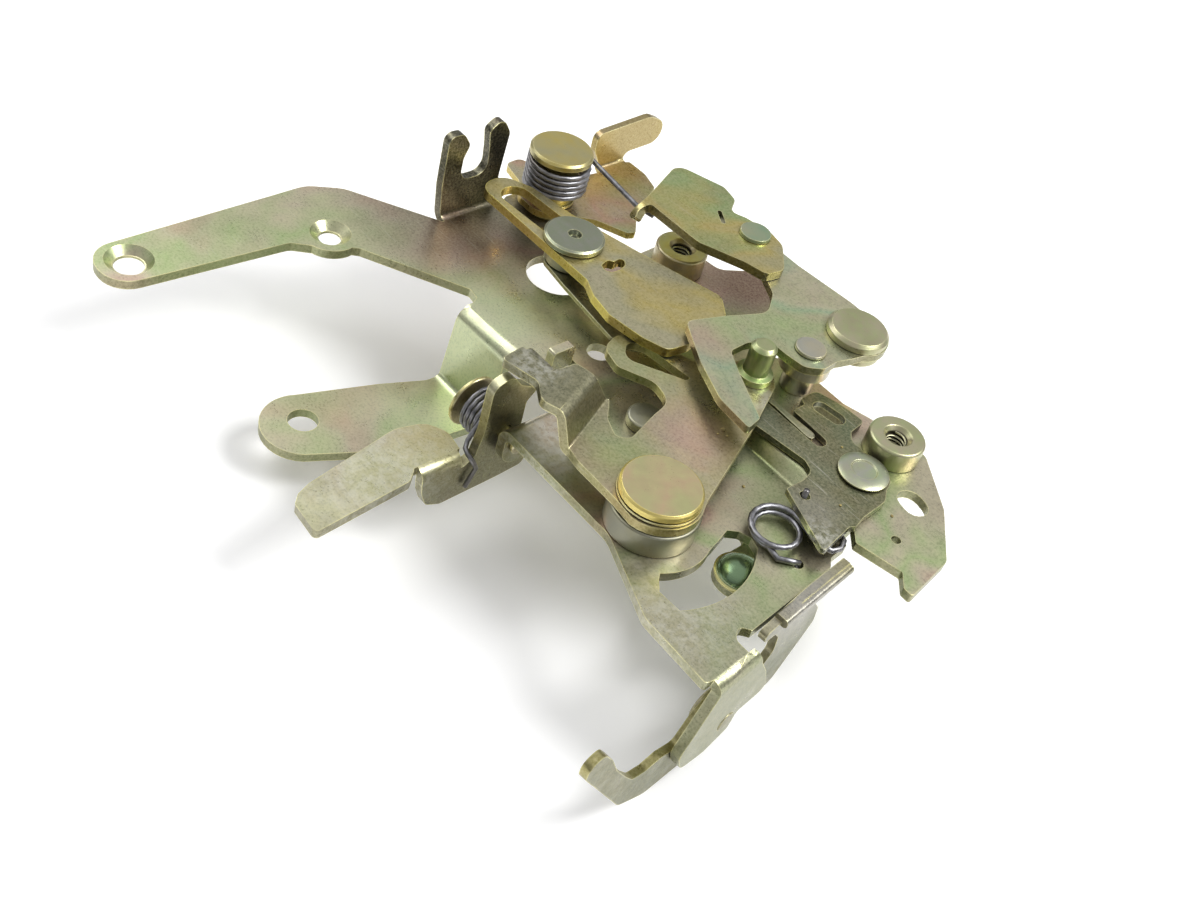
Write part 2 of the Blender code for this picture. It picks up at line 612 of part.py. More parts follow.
def make_under_lever(place):
    """Stepped lever below the plate. It goes round the arc window and carries the domed stud."""
    turn, radius, drop = math.radians(45), 2.0, 3.6
    straight = (drop - 2 * radius * (1 - math.cos(turn))) / math.sin(turn)
    shift = 2 * radius * turn + straight - (2 * radius * math.sin(turn) + straight * math.cos(turn))
    step_at = 9.4

    def low(x, y, r=0.0):
        return (x, y + shift, r)

    x, y = DOME_AT
    loop = [(-7.6, -7.6, 7.5), (7.6, -7.6, 7.5), (7.6, 5.6, 3.0), (4.6, 9.0, 1.0), low(4.6, 23.0, 3.0)]
    loop += [low(x - 6.0, 23.0, 3.0), low(x - 6.0, y - 6.0, 5.8), low(x + 6.0, y - 6.0, 5.8)]
    loop += [low(x + 6.0, 26.0, 4.0), low(20.0, 31.0, 5.0), low(-4.6, 31.0, 5.0), (-4.6, 9.0, 1.0), (-7.6, 5.6, 3.0)]
    holes = [circle(0, 0, PIVOT_SHANK_R + 0.1), circle(*low(x, y)[:2], 2.3)]
    bends = [
        {"at": (0, step_at + radius * turn + straight), "toward": (0, 1), "radius": radius, "angle": 45,
         "steps": 3, "where": lambda u, v: u < 8.0 and v > step_at - 0.1},
        {"at": (0, step_at), "toward": (0, 1), "radius": radius, "angle": -45, "steps": 3,
         "where": lambda u, v: u < 8.0 and v > step_at - 0.1},
    ]
    end = (lambda u, v: u >= 8.0, (0, -shift, -drop))
    return sheet("under_lever", place, outline(loop), holes, thick=2.0, top=-SHEET - 0.8, bends=bends, lift=end)


def make_release_lever(place):
    """The large lever on the main pivot, with its raised bridge and a turned-down tab."""
    across, line = (-0.925, -0.380), (-0.380, 0.925)
    first = (-20.4, -8.6)
    rise_turn, radius = math.radians(65), 2.0
    climb = (7.5 - 2 * radius * (1 - math.cos(rise_turn))) / math.sin(rise_turn)
    real = 2 * radius * math.sin(rise_turn) + climb * math.cos(rise_turn)
    flat = 2 * radius * rise_turn + climb
    shift = flat - real

    def bridge(x, y, r=0.0):
        return (x + across[0] * shift, y + across[1] * shift, r)

    fold_at = -2.6 + across[1] * shift

    def tab(x, z, r=0.0):
        # flat distance of the turned-down tab from its bend line
        return (x + across[0] * shift, fold_at + (15.0 - z) - 2.0 + math.pi, r)

    loop = [(-16.6, -9.4, 6.0), (-4.2, -9.6, 5.0)] + arc(0, 0, 10.4, -80, 25, 9)
    loop += [(7.0, 8.6, 3.0), (-3.9, 35.0, 3.0), (-11.6, 51.4, 4.0), (-16.2, 55.4, 4.0), (-22.6, 53.4, 4.5)]
    loop += [(-24.4, 44.0, 4.0), (-30.2, 37.6, 4.0), (-37.6, 32.6, 2.0), (-42.2, 32.3, 4.0), (-45.0, 28.2, 4.0)]
    loop += [(-42.8, 22.0, 4.5), (-36.0, 20.3, 3.0), (-27.6, 24.9, 5.0), (-20.8, 23.4, 5.0), (-19.4, 17.0, 6.0)]
    loop += [(-16.2, 6.4, 2.5), (-18.4, 3.6, 1.6), (-23.6, 5.8, 3.0), (-28.4, 10.6, 0.8)]
    loop += [bridge(-32.0, 5.8, 3.0), bridge(-36.0, 4.8, 1.0), (bridge(-36.6, 0)[0], fold_at)]
    loop += [tab(-36.6, 8.0, 1.5), tab(-45.2, 8.0, 1.5), (bridge(-45.2, 0)[0], fold_at)]
    loop += [bridge(-46.4, -3.0, 1.0), bridge(-45.4, -9.8, 1.0), bridge(-41.8, -8.9, 2.0), bridge(-35.6, -7.2, 3.0)]
    loop += [bridge(-30.4, -10.6, 3.0), bridge(-26.6, -9.0, 2.0), (-20.4, -8.7, 1.0)]
    holes = [
        circle(0, 0, PIVOT_SHANK_R + 0.15),
        circle(-17.3, 49.2, 2.6),
        outline([(-42.2, 29.0, 3.4), (-37.4, 24.0, 3.2), (-24.4, 32.4, 0.8), (-24.2, 34.0, 0.6), (-38.0, 32.2, 2.4)]),
    ]
    top_line = [first[i] + across[i] * (radius * rise_turn + climb) for i in (0, 1)]

    def raised(x, y):
        return (x - first[0]) * across[0] + (y - first[1]) * across[1] > -0.01 and y < 11.5 + 2.0 and x < -20

    def drop(x, y):
        return x < bridge(-36.5, 0)[0] + 0.05 and fold_at - 0.05 < y < 10

    bends = [
        {"at": (0, fold_at), "toward": (0, 1), "radius": 2.0, "angle": -90, "where": drop},
        {"at": top_line, "toward": across, "radius": radius, "angle": -65, "where": raised},
        {"at": first, "toward": across, "radius": radius, "angle": 65, "where": raised},
    ]
    return sheet("release_lever", place, outline(loop), holes, thick=LEVER_Z1 - LEVER_Z0, top=LEVER_Z1, bends=bends)


def make_claw_lever(place):
    loop = [(-35.9, 41.2, 2.5), (-32.6, 52.0, 5.0), (-28.2, 63.4, 5.0), (-33.0, 70.6, 5.0), (-42.0, 75.6, 4.0)]
    loop += [(-56.6, 76.6, 4.5), (-57.2, 86.4, 4.5), (-38.0, 86.4, 4.0), (-21.0, 88.2, 5.0)]
    loop += arc(STUD_AT[0] - 0.4, STUD_AT[1] + 0.4, 8.6, 80, -35, 9)
    loop += [(-5.4, 70.6, 2.0), (-6.6, 66.0, 2.0), (-6.2, 60.6, 3.0), (-9.2, 56.6, 3.0), (-15.0, 55.8, 3.0)]
    loop += [(-19.6, 55.6, 2.0), (-22.6, 50.0, 4.0), (-22.4, 43.6, 2.0), (-15.6, 39.6, 4.0), (-2.0, 32.6, 0.8)]
    loop += [(-1.0, 27.7, 0.8), (-11.5, 28.6, 8.0), (-23.0, 33.6, 10.0)]
    holes = [circle(*CLAW_AT, 3.15), circle(*STUD_AT, 3.1), circle(*FINGER_RIVET_AT, 2.3)]
    return plate("claw_lever", place, outline(loop), holes, CLAW_Z0, CLAW_Z1)


def make_finger_plate(place):
    loop = [(-73.2, 63.6, 0.8), (-55.4, 64.0, 4.0), (-43.8, 69.8, 5.0), (-37.4, 71.6, 2.0), (-36.6, 77.6, 2.5)]
    loop += [(-44.2, 85.2, 5.0), (-50.0, 86.4, 4.0), (-57.6, 84.6, 5.0), (-61.4, 82.4, 3.0), (-64.6, 87.8, 3.0)]
    loop += [(-70.4, 89.2, 3.0), (-84.0, 83.8, 3.5), (-77.6, 68.6, 4.0), (-75.0, 62.0, 0.8)]
    loop += [(-76.0, 58.4, 1.0), (-73.4, 57.8, 1.0)]
    holes = [
        circle(*FINGER_RIVET_AT, 2.3),
        slot(-62.6, 79.4, -58.8, 77.0, 0.6, 4),
    ]
    bends = [{"at": (-73.0, 62.6), "toward": (-0.34, -0.94), "radius": 2.4, "angle": -60,
              "where": lambda x, y: y < 63 and x < -71}]
    return sheet("finger_plate", place, outline(loop), holes, top=FINGER_Z1, bends=bends)


def make_lock_lever(place):
    loop = [(-6.5, 40.4, 1.0), (7.9, 42.6, 2.0), (11.4, 41.2, 2.5), (12.2, 37.0, 3.0), (12.0, 31.4, 0.5)]
    loop += [(30.0, 24.4, 0.8), (28.2, 36.0), (29.0, 37.2), (28.0, 41.4), (27.4, 50.2, 3.0)]
    loop += arc(LOCK_AT[0], LOCK_AT[1], 6.9, 10, 85, 6)
    loop += [(9.6, 58.4, 3.0), (7.2, 61.0, 1.0), (6.4, 67.2, 1.5), (-0.6, 66.4, 2.0), (-7.6, 64.2, 2.0), (-7.6, 58.4, 1.0)]
    loop += [(-5.6, 57.6, 0.6), (-5.6, 53.1, 1.0)]
    loop += arc(5.2, 50.9, 1.9, 90, -90, 8)
    loop += [(-11.0, 49.0, 0.8), (-11.4, 41.8, 2.0)]
    holes = [
        circle(*LOCK_AT, 2.75),
        outline([(14.2, 33.1, 1.0), (16.6, 32.2, 1.0), (17.6, 34.2, 1.0), (15.2, 35.4, 1.0)]),
        slot(-2.6, 60.6, 2.0, 61.4, 2.2),
    ]
    return plate("lock_lever", place, outline(loop), holes, LOCK_Z0, LOCK_Z1)


def make_lock_link(place):
    x, y = SLIDE_AT
    loop = arc(x, y, 6.6, 100, 250, 8)
    loop += [(-68.9, 32.4, 3.0), (-47.4, 29.8, 4.0), (-42.6, 31.4, 3.0), (-38.0, 37.0, 4.0), (-25.0, 40.6, 3.0)]
    loop += [(-14.0, 49.6, 2.0), (-9.0, 50.2, 1.0)] + arc(2.4, 50.9, 1.25, -90, 90, 6)
    loop += [(-9.0, 51.7, 1.0), (-16.4, 52.0, 2.0), (-28.0, 43.6, 4.0), (-41.0, 40.4, 5.0), (-46.0, 34.8, 3.0)]
    loop += [(-66.0, 37.8, 5.0), (-69.8, 43.2, 3.0)]
    return plate("lock_link", place, outline(loop), [circle(x, y, 2.5)], LINK_Z0, LINK_Z1)


def make_slotted_link(place):
    loop = [(-105.3, 32.2, 5.0), (-62.0, 32.4, 2.5), (-56.6, 29.8, 3.0), (-49.0, 28.4, 4.0), (-38.6, 30.2, 4.0)]
    loop += [(-32.4, 32.8, 2.5), (-31.4, 39.4, 4.0), (-34.6, 56.0, 4.0), (-41.0, 60.8, 3.0), (-57.6, 55.2, 8.0)]
    loop += [(-84.6, 47.2, 6.0), (-98.6, 45.0, 5.0), (-105.8, 41.0, 5.0)]
    hole = slot(*SLOT_LEFT, *SLOT_RIGHT, SLOT_HALF)
    key = outline([
        (-64.7, 39.9, 0.9), (-62.5, 39.4, 0.9), (-61.3, 40.7, 0.9), (-61.2, 43.3, 0.9), (-62.0, 45.7, 0.9),
        (-63.6, 47.0, 0.9), (-64.7, 46.2, 0.9), (-64.3, 44.0, 0.9), (-65.6, 43.0, 0.9)])
    return plate("slotted_link", place, outline(loop), [hole, key], SLIDE_Z0, SLIDE_Z1)


def make_finger_lever(place):
    """A flat lever on the post; one side is folded up into the finger."""
    low, high = FINGER_LEVER_Z
    fold, radius = -105.8, 2.0
    middle = (low + high) / 2

    def finger(y, z, r=0.0):
        return (fold - radius * math.pi / 2 - (z - middle - radius), y, r)

    loop = [(-105.8, 48.4, 4.0), (-98.0, 48.4, 6.0), (-88.0, 61.6, 6.0), (-79.6, 65.9, 1.2), (-78.8, 68.2, 1.0)]
    loop += [(-84.6, 74.0, 5.0), (-92.4, 88.6, 2.0), (-98.8, 90.6, 5.0), (-105.2, 90.4, 0.6), (fold, 89.2)]
    loop += [finger(88.6, 6.2, 2.4), finger(102.0, 6.8, 4.0), finger(103.2, 13.2, 4.2), finger(96.2, 16.6, 5.0)]
    loop += [finger(75.8, 15.4, 2.5), finger(76.0, 10.0, 3.0), finger(79.4, 4.2, 2.0), (fold, 79.2)]
    loop += [(-105.0, 77.6, 0.8), (-105.8, 68.6, 4.0), (-110.6, 63.6, 5.0), (-119.6, 60.4, 2.2)]
    loop += [(-119.2, 54.8, 2.2), (-111.2, 53.2, 4.0)]
    bends = [{"at": (fold, 0), "toward": (-1, 0), "radius": radius, "angle": 90,
              "where": lambda x, y: y > 75.0 and x < fold - 0.01}]
    hole = circle(*POST_AT, HUB_R + 0.25)
    return sheet("finger_lever", place, outline(loop), [hole], thick=high - low, top=high, bends=bends)


def make_paddle_lever(place, tools):
    """Paddle and side web of one folded blank, with the ear that turns on the pin."""
    group, parent, material, origin = place
    top, low = -8.0, -10.5
    paddle = outline([
        (-48.6, -59.8, 1.2), (-39.6, -60.6, 1.2), (-41.8, -33.8, 2.0), (-43.9, -31.2, 0.6), (-44.6, -30.6),
        (-44.6, -17.4), (-50.4, -16.4, 4.0), (-55.4, -19.4, 5.0), (-57.2, -27.0, 8.0), (-54.8, -40.0, 12.0),
        (-52.3, -53.8, 2.0), (-50.8, -57.6, 1.5)])
    side = ((0, 1, 0), (0, 0, 1), (0, 0, 0))
    end = ((1, 0, 0), (0, 0, 1), (0, 0, 0))
    mesh = bpy.data.meshes.new("paddle_lever")
    bm = bmesh.new()
    loop = [Vector((x, y, 0)) for x, y in paddle]
    rings = [[bm.verts.new((point + Vector((0, 0, z)) - Vector(origin)) * MM) for point in loop] for z in (low, top)]
    bm.faces.new(rings[0][::-1])
    bm.faces.new(rings[1])
    for i in range(len(loop)):
        j = (i + 1) % len(loop)
        bm.faces.new((rings[0][i], rings[0][j], rings[1][j], rings[1][i]))
    bmesh.ops.recalc_face_normals(bm, faces=bm.faces[:])
    bm.to_mesh(mesh)
    bm.free()
    made = add_object("paddle_lever", mesh, group, parent, (0, 0, 0), material)
    right = WEB_X
    bend = [(-45.4, low)] + arc(right - 3.0, top - 3.0, 0.5, 90, 0, 3)
    bend += [(right - 2.5, -12.4), (right, -12.4)] + arc(right - 3.0, top - 3.0, 3.0, 0, 90, 6) + [(-45.4, top)]
    web = outline([
        (-29.6, -11.6), (-29.2, -15.0, 2.0), (-27.4, -19.6, 2.5), (-22.8, -21.6, 3.0), (-5.8, -21.0, 6.0),
        (3.0, -20.2, 2.0), (2.6, -15.4, 3.0), (-1.4, -9.0, 4.0), (-1.6, 2.2, 1.5), (0.9, 5.0, 0.8),
        (-0.8, 6.8, 1.0), (-4.8, 8.8, 1.5), (-8.0, 13.0, 3.0), (-13.2, 11.0, 3.0), (-13.2, -3.0, 4.0), (-14.6, -9.8, 2.0), (-17.4, -11.6, 1.0)])
    joins = [
        prism("paddle_bend", tools, bend, 18.2, 29.6, end),
        prism("paddle_web", tools, web, WEB_X - WEB_T, WEB_X, side),
    ]
    for join in joins:
        hide(join, parent)
        join.location = -Vector(origin) * MM
        combine(made, join, "UNION")
    bore = prism("paddle_bore", tools, circle(PIN_Y, PIN_Z, PIN_R + 0.3), -60, -35, side)
    hide(bore, parent)
    bore.location = -Vector(origin) * MM
    combine(made, bore, "DIFFERENCE")
    return made


def make_hook_lever(place, tools):
    """A flat lever behind the flange, from the hook to the long rolled bar beside the plate."""
    group, parent, material, origin = place
    loop = outline([
        (-38.9, 5.8, 2.4), (-34.8, 6.8, 2.2), (-31.0, 1.6, 5.0), (-27.0, -6.0), (-21.4, -13.8, 4.0),
        (-17.8, -18.2, 3.0), (-13.0, -19.9, 4.0), (-8.0, -19.6, 3.0), (-1.4, -21.9, 2.0), (2.4, -14.4, 3.0),
        (9.0, -11.0, 5.0), (17.0, -14.6, 4.0), (25.2, -17.4, 3.0), (28.2, -12.4, 3.0), (27.0, -6.4, 4.0),
        (24.2, -3.2, 2.0), (20.0, -3.2, 1.4), (19.4, -0.2, 1.4), (33.0, 2.6, 8.0), (50.5, 2.4, 0.5),
        (50.5, 0.4, 0.4), (37.4, 0.0, 0.6), (38.4, -2.2, 0.6), (43.6, -8.4, 4.0), (45.2, -14.4, 3.0),
        (36.2, -30.4, 4.0), (27.0, -30.0, 3.0), (14.0, -33.6, 6.0), (2.4, -33.4, 6.0), (-9.0, -32.6, 8.0),
        (-19.6, -26.4, 7.0), (-34.4, -4.4, 8.0), (-38.9, 2.2, 2.4)])
    bm = bmesh.new()
    inner, outer = -SHEET - GAP - HOOK_T, -SHEET - GAP
    holes = [circle(HOOK_PIVOT[0], HOOK_PIVOT[1], 2.7)]
    for ring_points in (loop, *holes):
        ring = [bm.verts.new((s, z, 0.0)) for s, z in ring_points]
        for i, vert in enumerate(ring):
            bm.edges.new((ring[i - 1], vert))
    bmesh.ops.triangle_fill(bm, edges=bm.edges[:], use_beauty=True, normal=(0, 0, 1))
    middle = (inner + outer) / 2
    for vert in bm.verts:
        s, z = vert.co.x, vert.co.y
        x = FLANGE_AT[0] + ALONG[0] * s + OUT[0] * middle
        y = FLANGE_AT[1] + ALONG[1] * s + OUT[1] * middle
        vert.co = Vector((x - origin[0], y - origin[1], z - origin[2])) * MM
    bmesh.ops.recalc_face_normals(bm, faces=bm.faces[:])
    mesh = bpy.data.meshes.new("hook_lever")
    bm.to_mesh(mesh)
    bm.free()
    made = add_object("hook_lever", mesh, group, parent, (0, 0, 0), material)
    wall = made.modifiers.new("thickness", "SOLIDIFY")
    wall.thickness = HOOK_T * MM
    wall.offset = 0.0
    lip = outline([(outer - 1.9, -0.2, 0.4), (outer - 1.9, 2.3, 0.6), (outer + 1.5, 2.1, 1.0), (outer + 1.5, -0.2, 1.0)])
    rolled = prism("hook_lip", tools, lip, -50.2, -24.4, ((*OUT, 0), (0, 0, 1), (*FLANGE_AT, 0)))
    hide(rolled, parent)
    rolled.location = -Vector(origin) * MM
    combine(made, rolled, "UNION")
    return made


# Springs

def coil(x, y, radius, start, turns, z0, z1, steps=18, grow=0.0):
    """Turns about Z; `grow` is how much wider the coil's end is than its start."""
    count = round(abs(turns) * steps)
    path = []
    for i in range(count + 1):
        a = math.radians(start) + 2 * math.pi * turns * i / count
        reach = radius + grow * i / count
        path.append((x + reach * math.cos(a), y + reach * math.sin(a), z0 + (z1 - z0) * i / count))
    return path


def make_toggle_spring(place):
    """One and a half turns, one leg into the plate and one up through the lock lever."""
    r = 0.75
    path = [(27.0, 21.7, -1.6), (27.0, 21.7, 0.5), (26.2, 20.2, 0.9), (23.8, 17.8, 0.9)]
    path += coil(17.7, 23.2, 5.2, -62, -1.62, 0.95, 3.1, 20, 1.2)
    path += [(24.4, 28.0, 3.1), (27.4, 27.8, 2.9), (29.6, 29.4, 2.6), (30.2, 32.0, 2.4), (29.0, 34.6, 2.3)]
    path += [(25.6, 36.0, 2.3), (20.0, 35.0, 2.3), (16.6, 34.0, 2.5), (15.8, 33.7, 3.6), (15.8, 33.7, 7.4)]
    return wire("toggle_spring", place, path, r)


def make_finger_spring(place):
    """A coil of five and a half turns round the post. One leg goes to the finger plate, and the
    other runs out under the slotted link."""
    x, y = POST_AT
    path = [(-86.0, 50.4, 6.6), (-92.0, 49.4, 7.2)]
    path += coil(x, y, 8.2, -90, -5.51, 7.8, 16.6, 17)
    path += [(-78.3, 65.3, 13.3), (-76.6, 65.9, 13.3), (-73.6, 66.6, 13.3)]
    return wire("finger_spring", place, path, 0.74)


def make_paddle_spring(place):
    """A torsion coil on the pin, with one leg hooked over the paddle lever's web."""
    path = []
    turns, steps, radius = 4.583, 14, 5.6
    x0, x1 = -52.2, -45.6
    count = round(turns * steps)
    for i in range(count + 1):
        a = math.radians(-60) + 2 * math.pi * turns * i / count
        path.append((x0 + (x1 - x0) * i / count, PIN_Y + radius * math.cos(a), PIN_Z + radius * math.sin(a)))
    path += [(-45.7, -13.4, -6.0), (-45.4, -14.6, -7.6), (-44.4, -15.8, -8.4), (-43.0, -16.2, -8.8)]
    path += [(-41.3, -16.2, -9.3), (-40.8, -15.6, -10.6), (-40.8, -14.6, -12.4), (-41.0, -16.7, -17.9)]
    return wire("paddle_spring", place, path, 0.62)


# Assembly

def axis_at(name, group, parent, at):
    """An empty on a joint's axis, which carries a moving piece."""
    made = bpy.data.objects.new(name, None)
    made.empty_display_size = 0.01
    made["axis"] = True
    group.objects.link(made)
    made.parent = parent
    made.location = Vector(at) * MM
    return made


def main():
    clear_scene()
    latch = new_collection("door_latch")
    tools = new_collection("cutters")
    datum = bpy.data.objects.new("plate_datum", None)
    datum.empty_display_size = 0.02
    latch.objects.link(datum)
    datum.location = Vector(PLATE_AT) * MM

    zinc = new_material("zinc_olive", (0.36, 0.34, 0.23), 0.36, 1.0)
    gold = new_material("zinc_gold", (0.42, 0.36, 0.16), 0.34, 1.0)
    green = new_material("zinc_green", (0.33, 0.37, 0.28), 0.36, 1.0)
    bright = new_material("zinc_bright", (0.55, 0.53, 0.42), 0.33, 1.0)
    steel = new_material("pivot_steel", (0.46, 0.46, 0.40), 0.30, 1.0)
    spring = new_material("spring_steel", (0.12, 0.12, 0.13), 0.35, 1.0)

    fixed = (latch, datum, zinc, (0, 0, 0))
    turned_steel = (latch, datum, steel, (0, 0, 0))
    make_base(fixed, tools)
    make_boss("right_boss", turned_steel, RIGHT_BOSS_AT, PLATEAU, BOSS_H)
    make_boss("back_boss", turned_steel, BACK_BOSS_AT, 0.0, BACK_BOSS_H)
    make_main_pivot((latch, datum, gold, (0, 0, 0)))
    make_bushing(turned_steel)
    make_washer((latch, datum, gold, (0, 0, 0)))
    make_claw_post(turned_steel)
    make_lock_pivot((latch, datum, green, (0, 0, 0)))
    make_finger_post((latch, datum, gold, (0, 0, 0)))
    make_paddle_pin(turned_steel)
    make_hook_rivet(turned_steel)
    make_stop_rivet(turned_steel)
    make_toggle_spring((latch, datum, spring, (0, 0, 0)))
    make_finger_spring((latch, datum, spring, (0, 0, 0)))
    make_paddle_spring((latch, datum, spring, (0, 0, 0)))

    release = axis_at("release_axis", latch, datum, (0, 0, 0))
    make_release_lever((latch, release, gold, (0, 0, 0)))
    make_release_pin((latch, release, steel, (0, 0, 0)))
    make_under_lever((latch, release, zinc, (0, 0, 0)))
    make_dome_stud((latch, release, green, (0, 0, 0)))

    claw_origin = (*CLAW_AT, 0)
    claw = axis_at("claw_axis", latch, datum, claw_origin)
    make_claw_lever((latch, claw, green, claw_origin))
    make_claw_stud((latch, claw, steel, claw_origin))
    make_finger_plate((latch, claw, zinc, claw_origin))
    make_finger_rivet((latch, claw, steel, claw_origin))

    lock_origin = (*LOCK_AT, 0)
    lock = axis_at("lock_axis", latch, datum, lock_origin)
    make_lock_lever((latch, lock, green, lock_origin))

    link_origin = (*SLIDE_AT, 0)
    link = axis_at("link_axis", latch, datum, link_origin)
    make_lock_link((latch, link, green, link_origin))
    make_slide_stud((latch, link, steel, link_origin))
    make_slide_disc((latch, link, steel, link_origin))

    slide = axis_at("slide_axis", latch, datum, link_origin)
    make_slotted_link((latch, slide, gold, link_origin))

    finger_origin = (*POST_AT, 0)
    finger = axis_at("finger_axis", latch, datum, finger_origin)
    make_finger_lever((latch, finger, gold, finger_origin))

    paddle_origin = (-46.0, PIN_Y, PIN_Z)
    paddle = axis_at("paddle_axis", latch, datum, paddle_origin)
    make_paddle_lever((latch, paddle, bright, paddle_origin), tools)

    hook_origin = tuple(
        FLANGE_AT[i] + ALONG[i] * HOOK_PIVOT[0] - OUT[i] * (SHEET + GAP + HOOK_T / 2) for i in (0, 1)) + (HOOK_PIVOT[1],)
    hook = axis_at("hook_axis", latch, datum, hook_origin)
    make_hook_lever((latch, hook, zinc, hook_origin), tools)


main()
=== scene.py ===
# Looks of the door latch: zinc-plated sheet steel, worn and slightly dirty, on a pale studio floor.
# The CAD nodes keep their shape and get bevels and node materials; threads and crumbs of grease are added.
import math
import random

import bmesh
import bpy
from mathutils import Matrix, Vector


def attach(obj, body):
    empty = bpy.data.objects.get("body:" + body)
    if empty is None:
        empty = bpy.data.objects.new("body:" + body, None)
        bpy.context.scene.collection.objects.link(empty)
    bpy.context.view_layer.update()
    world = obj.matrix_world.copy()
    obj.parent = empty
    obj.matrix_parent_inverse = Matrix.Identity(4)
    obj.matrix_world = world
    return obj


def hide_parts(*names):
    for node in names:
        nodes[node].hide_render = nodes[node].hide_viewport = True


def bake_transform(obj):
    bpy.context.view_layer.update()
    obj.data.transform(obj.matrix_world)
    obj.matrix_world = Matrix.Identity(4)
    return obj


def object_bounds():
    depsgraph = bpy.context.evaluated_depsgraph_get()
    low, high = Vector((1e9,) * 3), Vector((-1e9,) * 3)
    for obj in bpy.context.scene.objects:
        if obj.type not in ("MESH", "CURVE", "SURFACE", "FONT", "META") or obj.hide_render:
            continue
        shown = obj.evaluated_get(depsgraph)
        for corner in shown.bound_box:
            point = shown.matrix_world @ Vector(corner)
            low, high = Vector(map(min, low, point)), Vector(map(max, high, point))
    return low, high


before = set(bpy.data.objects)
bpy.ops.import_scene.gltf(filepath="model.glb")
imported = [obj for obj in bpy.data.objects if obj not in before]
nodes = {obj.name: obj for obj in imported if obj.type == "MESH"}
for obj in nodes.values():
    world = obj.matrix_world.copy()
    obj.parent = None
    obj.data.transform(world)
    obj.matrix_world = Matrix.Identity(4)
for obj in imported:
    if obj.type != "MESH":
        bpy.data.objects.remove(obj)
CAD_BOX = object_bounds()

MM = 0.001
# the base plate's own origin, on the main pivot's axis at the plate's top face
PLATE_AT = Vector((76.5, 20.0, 24.5))

# axes of turned pieces, in the plate's millimetres, and the bosses' bore
PIVOT = (0, 0)
SLIDE = (-76, 40.2)
FINGER_POST = (-101.4, 56.4)
RIGHT_BOSS = (16, 66.9)
BACK_BOSS = (-65.6, 72.6)
BORE_R = 2.6
# the flange's outward direction
FLANGE_OUT = (0.9954, 0.0958, 0)

# the drawn thread's ridge: half widths at its foot and crest, and how far the foot is set into the wall
THREAD_PITCH = 1.0
THREAD_DEEP = 0.42
THREAD_FOOT = 0.42
THREAD_CREST = 0.06
THREAD_SEAT = 0.05

# span of the noise over which the film's colour bands are spread, and the pitch of turning marks
BAND_LOW, BAND_HIGH = 0.30, 0.72
RING_PITCH = 0.28


def at(x, y, z=0.0):
    """A place given in the plate's millimetres, as world metres."""
    return (Vector((x, y, z)) + PLATE_AT) * MM


# Camera, at the photograph's angle

def make_camera():
    cam = bpy.data.cameras.new("camera")
    cam.lens = 43.5
    cam.sensor_width = 36.0
    cam.clip_start = 0.01
    cam.clip_end = 20.0
    obj = bpy.data.objects.new("camera", cam)
    bpy.context.scene.collection.objects.link(obj)
    right = Vector((0.6514811, 0.7235431, 0.2281618))
    up = Vector((-0.6256761, 0.3423205, 0.7009609))
    back = Vector((0.4290709, -0.5994182, 0.6757189))
    eye = at(121.25756, -195.71285, 226.63804)
    obj.matrix_world = Matrix.Translation(eye) @ Matrix((right, up, back)).transposed().to_4x4()
    bpy.context.scene.camera = obj


# Light and floor

def make_light():
    world = bpy.data.worlds.new("studio")
    bpy.context.scene.world = world
    world.use_nodes = True
    tree = world.node_tree
    tree.nodes.clear()
    out = tree.nodes.new("ShaderNodeOutputWorld")
    back = tree.nodes.new("ShaderNodeBackground")
    coord = tree.nodes.new("ShaderNodeTexCoord")
    split = tree.nodes.new("ShaderNodeSeparateXYZ")
    ramp = tree.nodes.new("ShaderNodeValToRGB")
    side_shading = tree.nodes.new("ShaderNodeVectorMath")
    side_shading.operation = "DOT_PRODUCT"
    side_shading.inputs[1].default_value = (0.42, -0.60, 0.0)
    dark = tree.nodes.new("ShaderNodeMapRange")
    dark.inputs["From Min"].default_value = 0.1
    dark.inputs["From Max"].default_value = 0.75
    dark.inputs["To Min"].default_value = 1.0
    dark.inputs["To Max"].default_value = 0.45
    times = tree.nodes.new("ShaderNodeMix")
    times.data_type = "RGBA"
    times.blend_type = "MULTIPLY"
    times.inputs["Factor"].default_value = 1.0
    ramp.color_ramp.elements[0].position = 0.0
    ramp.color_ramp.elements[0].color = (0.30, 0.30, 0.29, 1)
    ramp.color_ramp.elements[1].position = 1.0
    ramp.color_ramp.elements[1].color = (1.0, 1.0, 1.0, 1)
    middle = ramp.color_ramp.elements.new(0.55)
    middle.color = (0.28, 0.28, 0.28, 1)
    high = ramp.color_ramp.elements.new(0.80)
    high.color = (0.98, 0.98, 1.0, 1)
    link = tree.links.new
    link(coord.outputs["Generated"], split.inputs[0])
    lift = tree.nodes.new("ShaderNodeMapRange")
    lift.inputs["From Min"].default_value = -1.0
    lift.inputs["From Max"].default_value = 1.0
    link(split.outputs["Z"], lift.inputs["Value"])
    link(lift.outputs["Result"], ramp.inputs["Fac"])
    link(coord.outputs["Generated"], side_shading.inputs[0])
    link(side_shading.outputs["Value"], dark.inputs["Value"])
    link(ramp.outputs["Color"], times.inputs["A"])
    link(dark.outputs["Result"], times.inputs["B"])
    link(times.outputs["Result"], back.inputs["Color"])
    back.inputs["Strength"].default_value = 0.72
    link(back.outputs["Background"], out.inputs["Surface"])


def make_lamp(name, place, aim, size, power):
    light = bpy.data.lights.new(name, "AREA")
    light.shape = "DISK"
    light.size = size
    light.energy = power
    obj = bpy.data.objects.new(name, light)
    bpy.context.scene.collection.objects.link(obj)
    obj.location = place
    obj.rotation_euler = (Vector(aim) - Vector(place)).to_track_quat("-Z", "Y").to_euler()


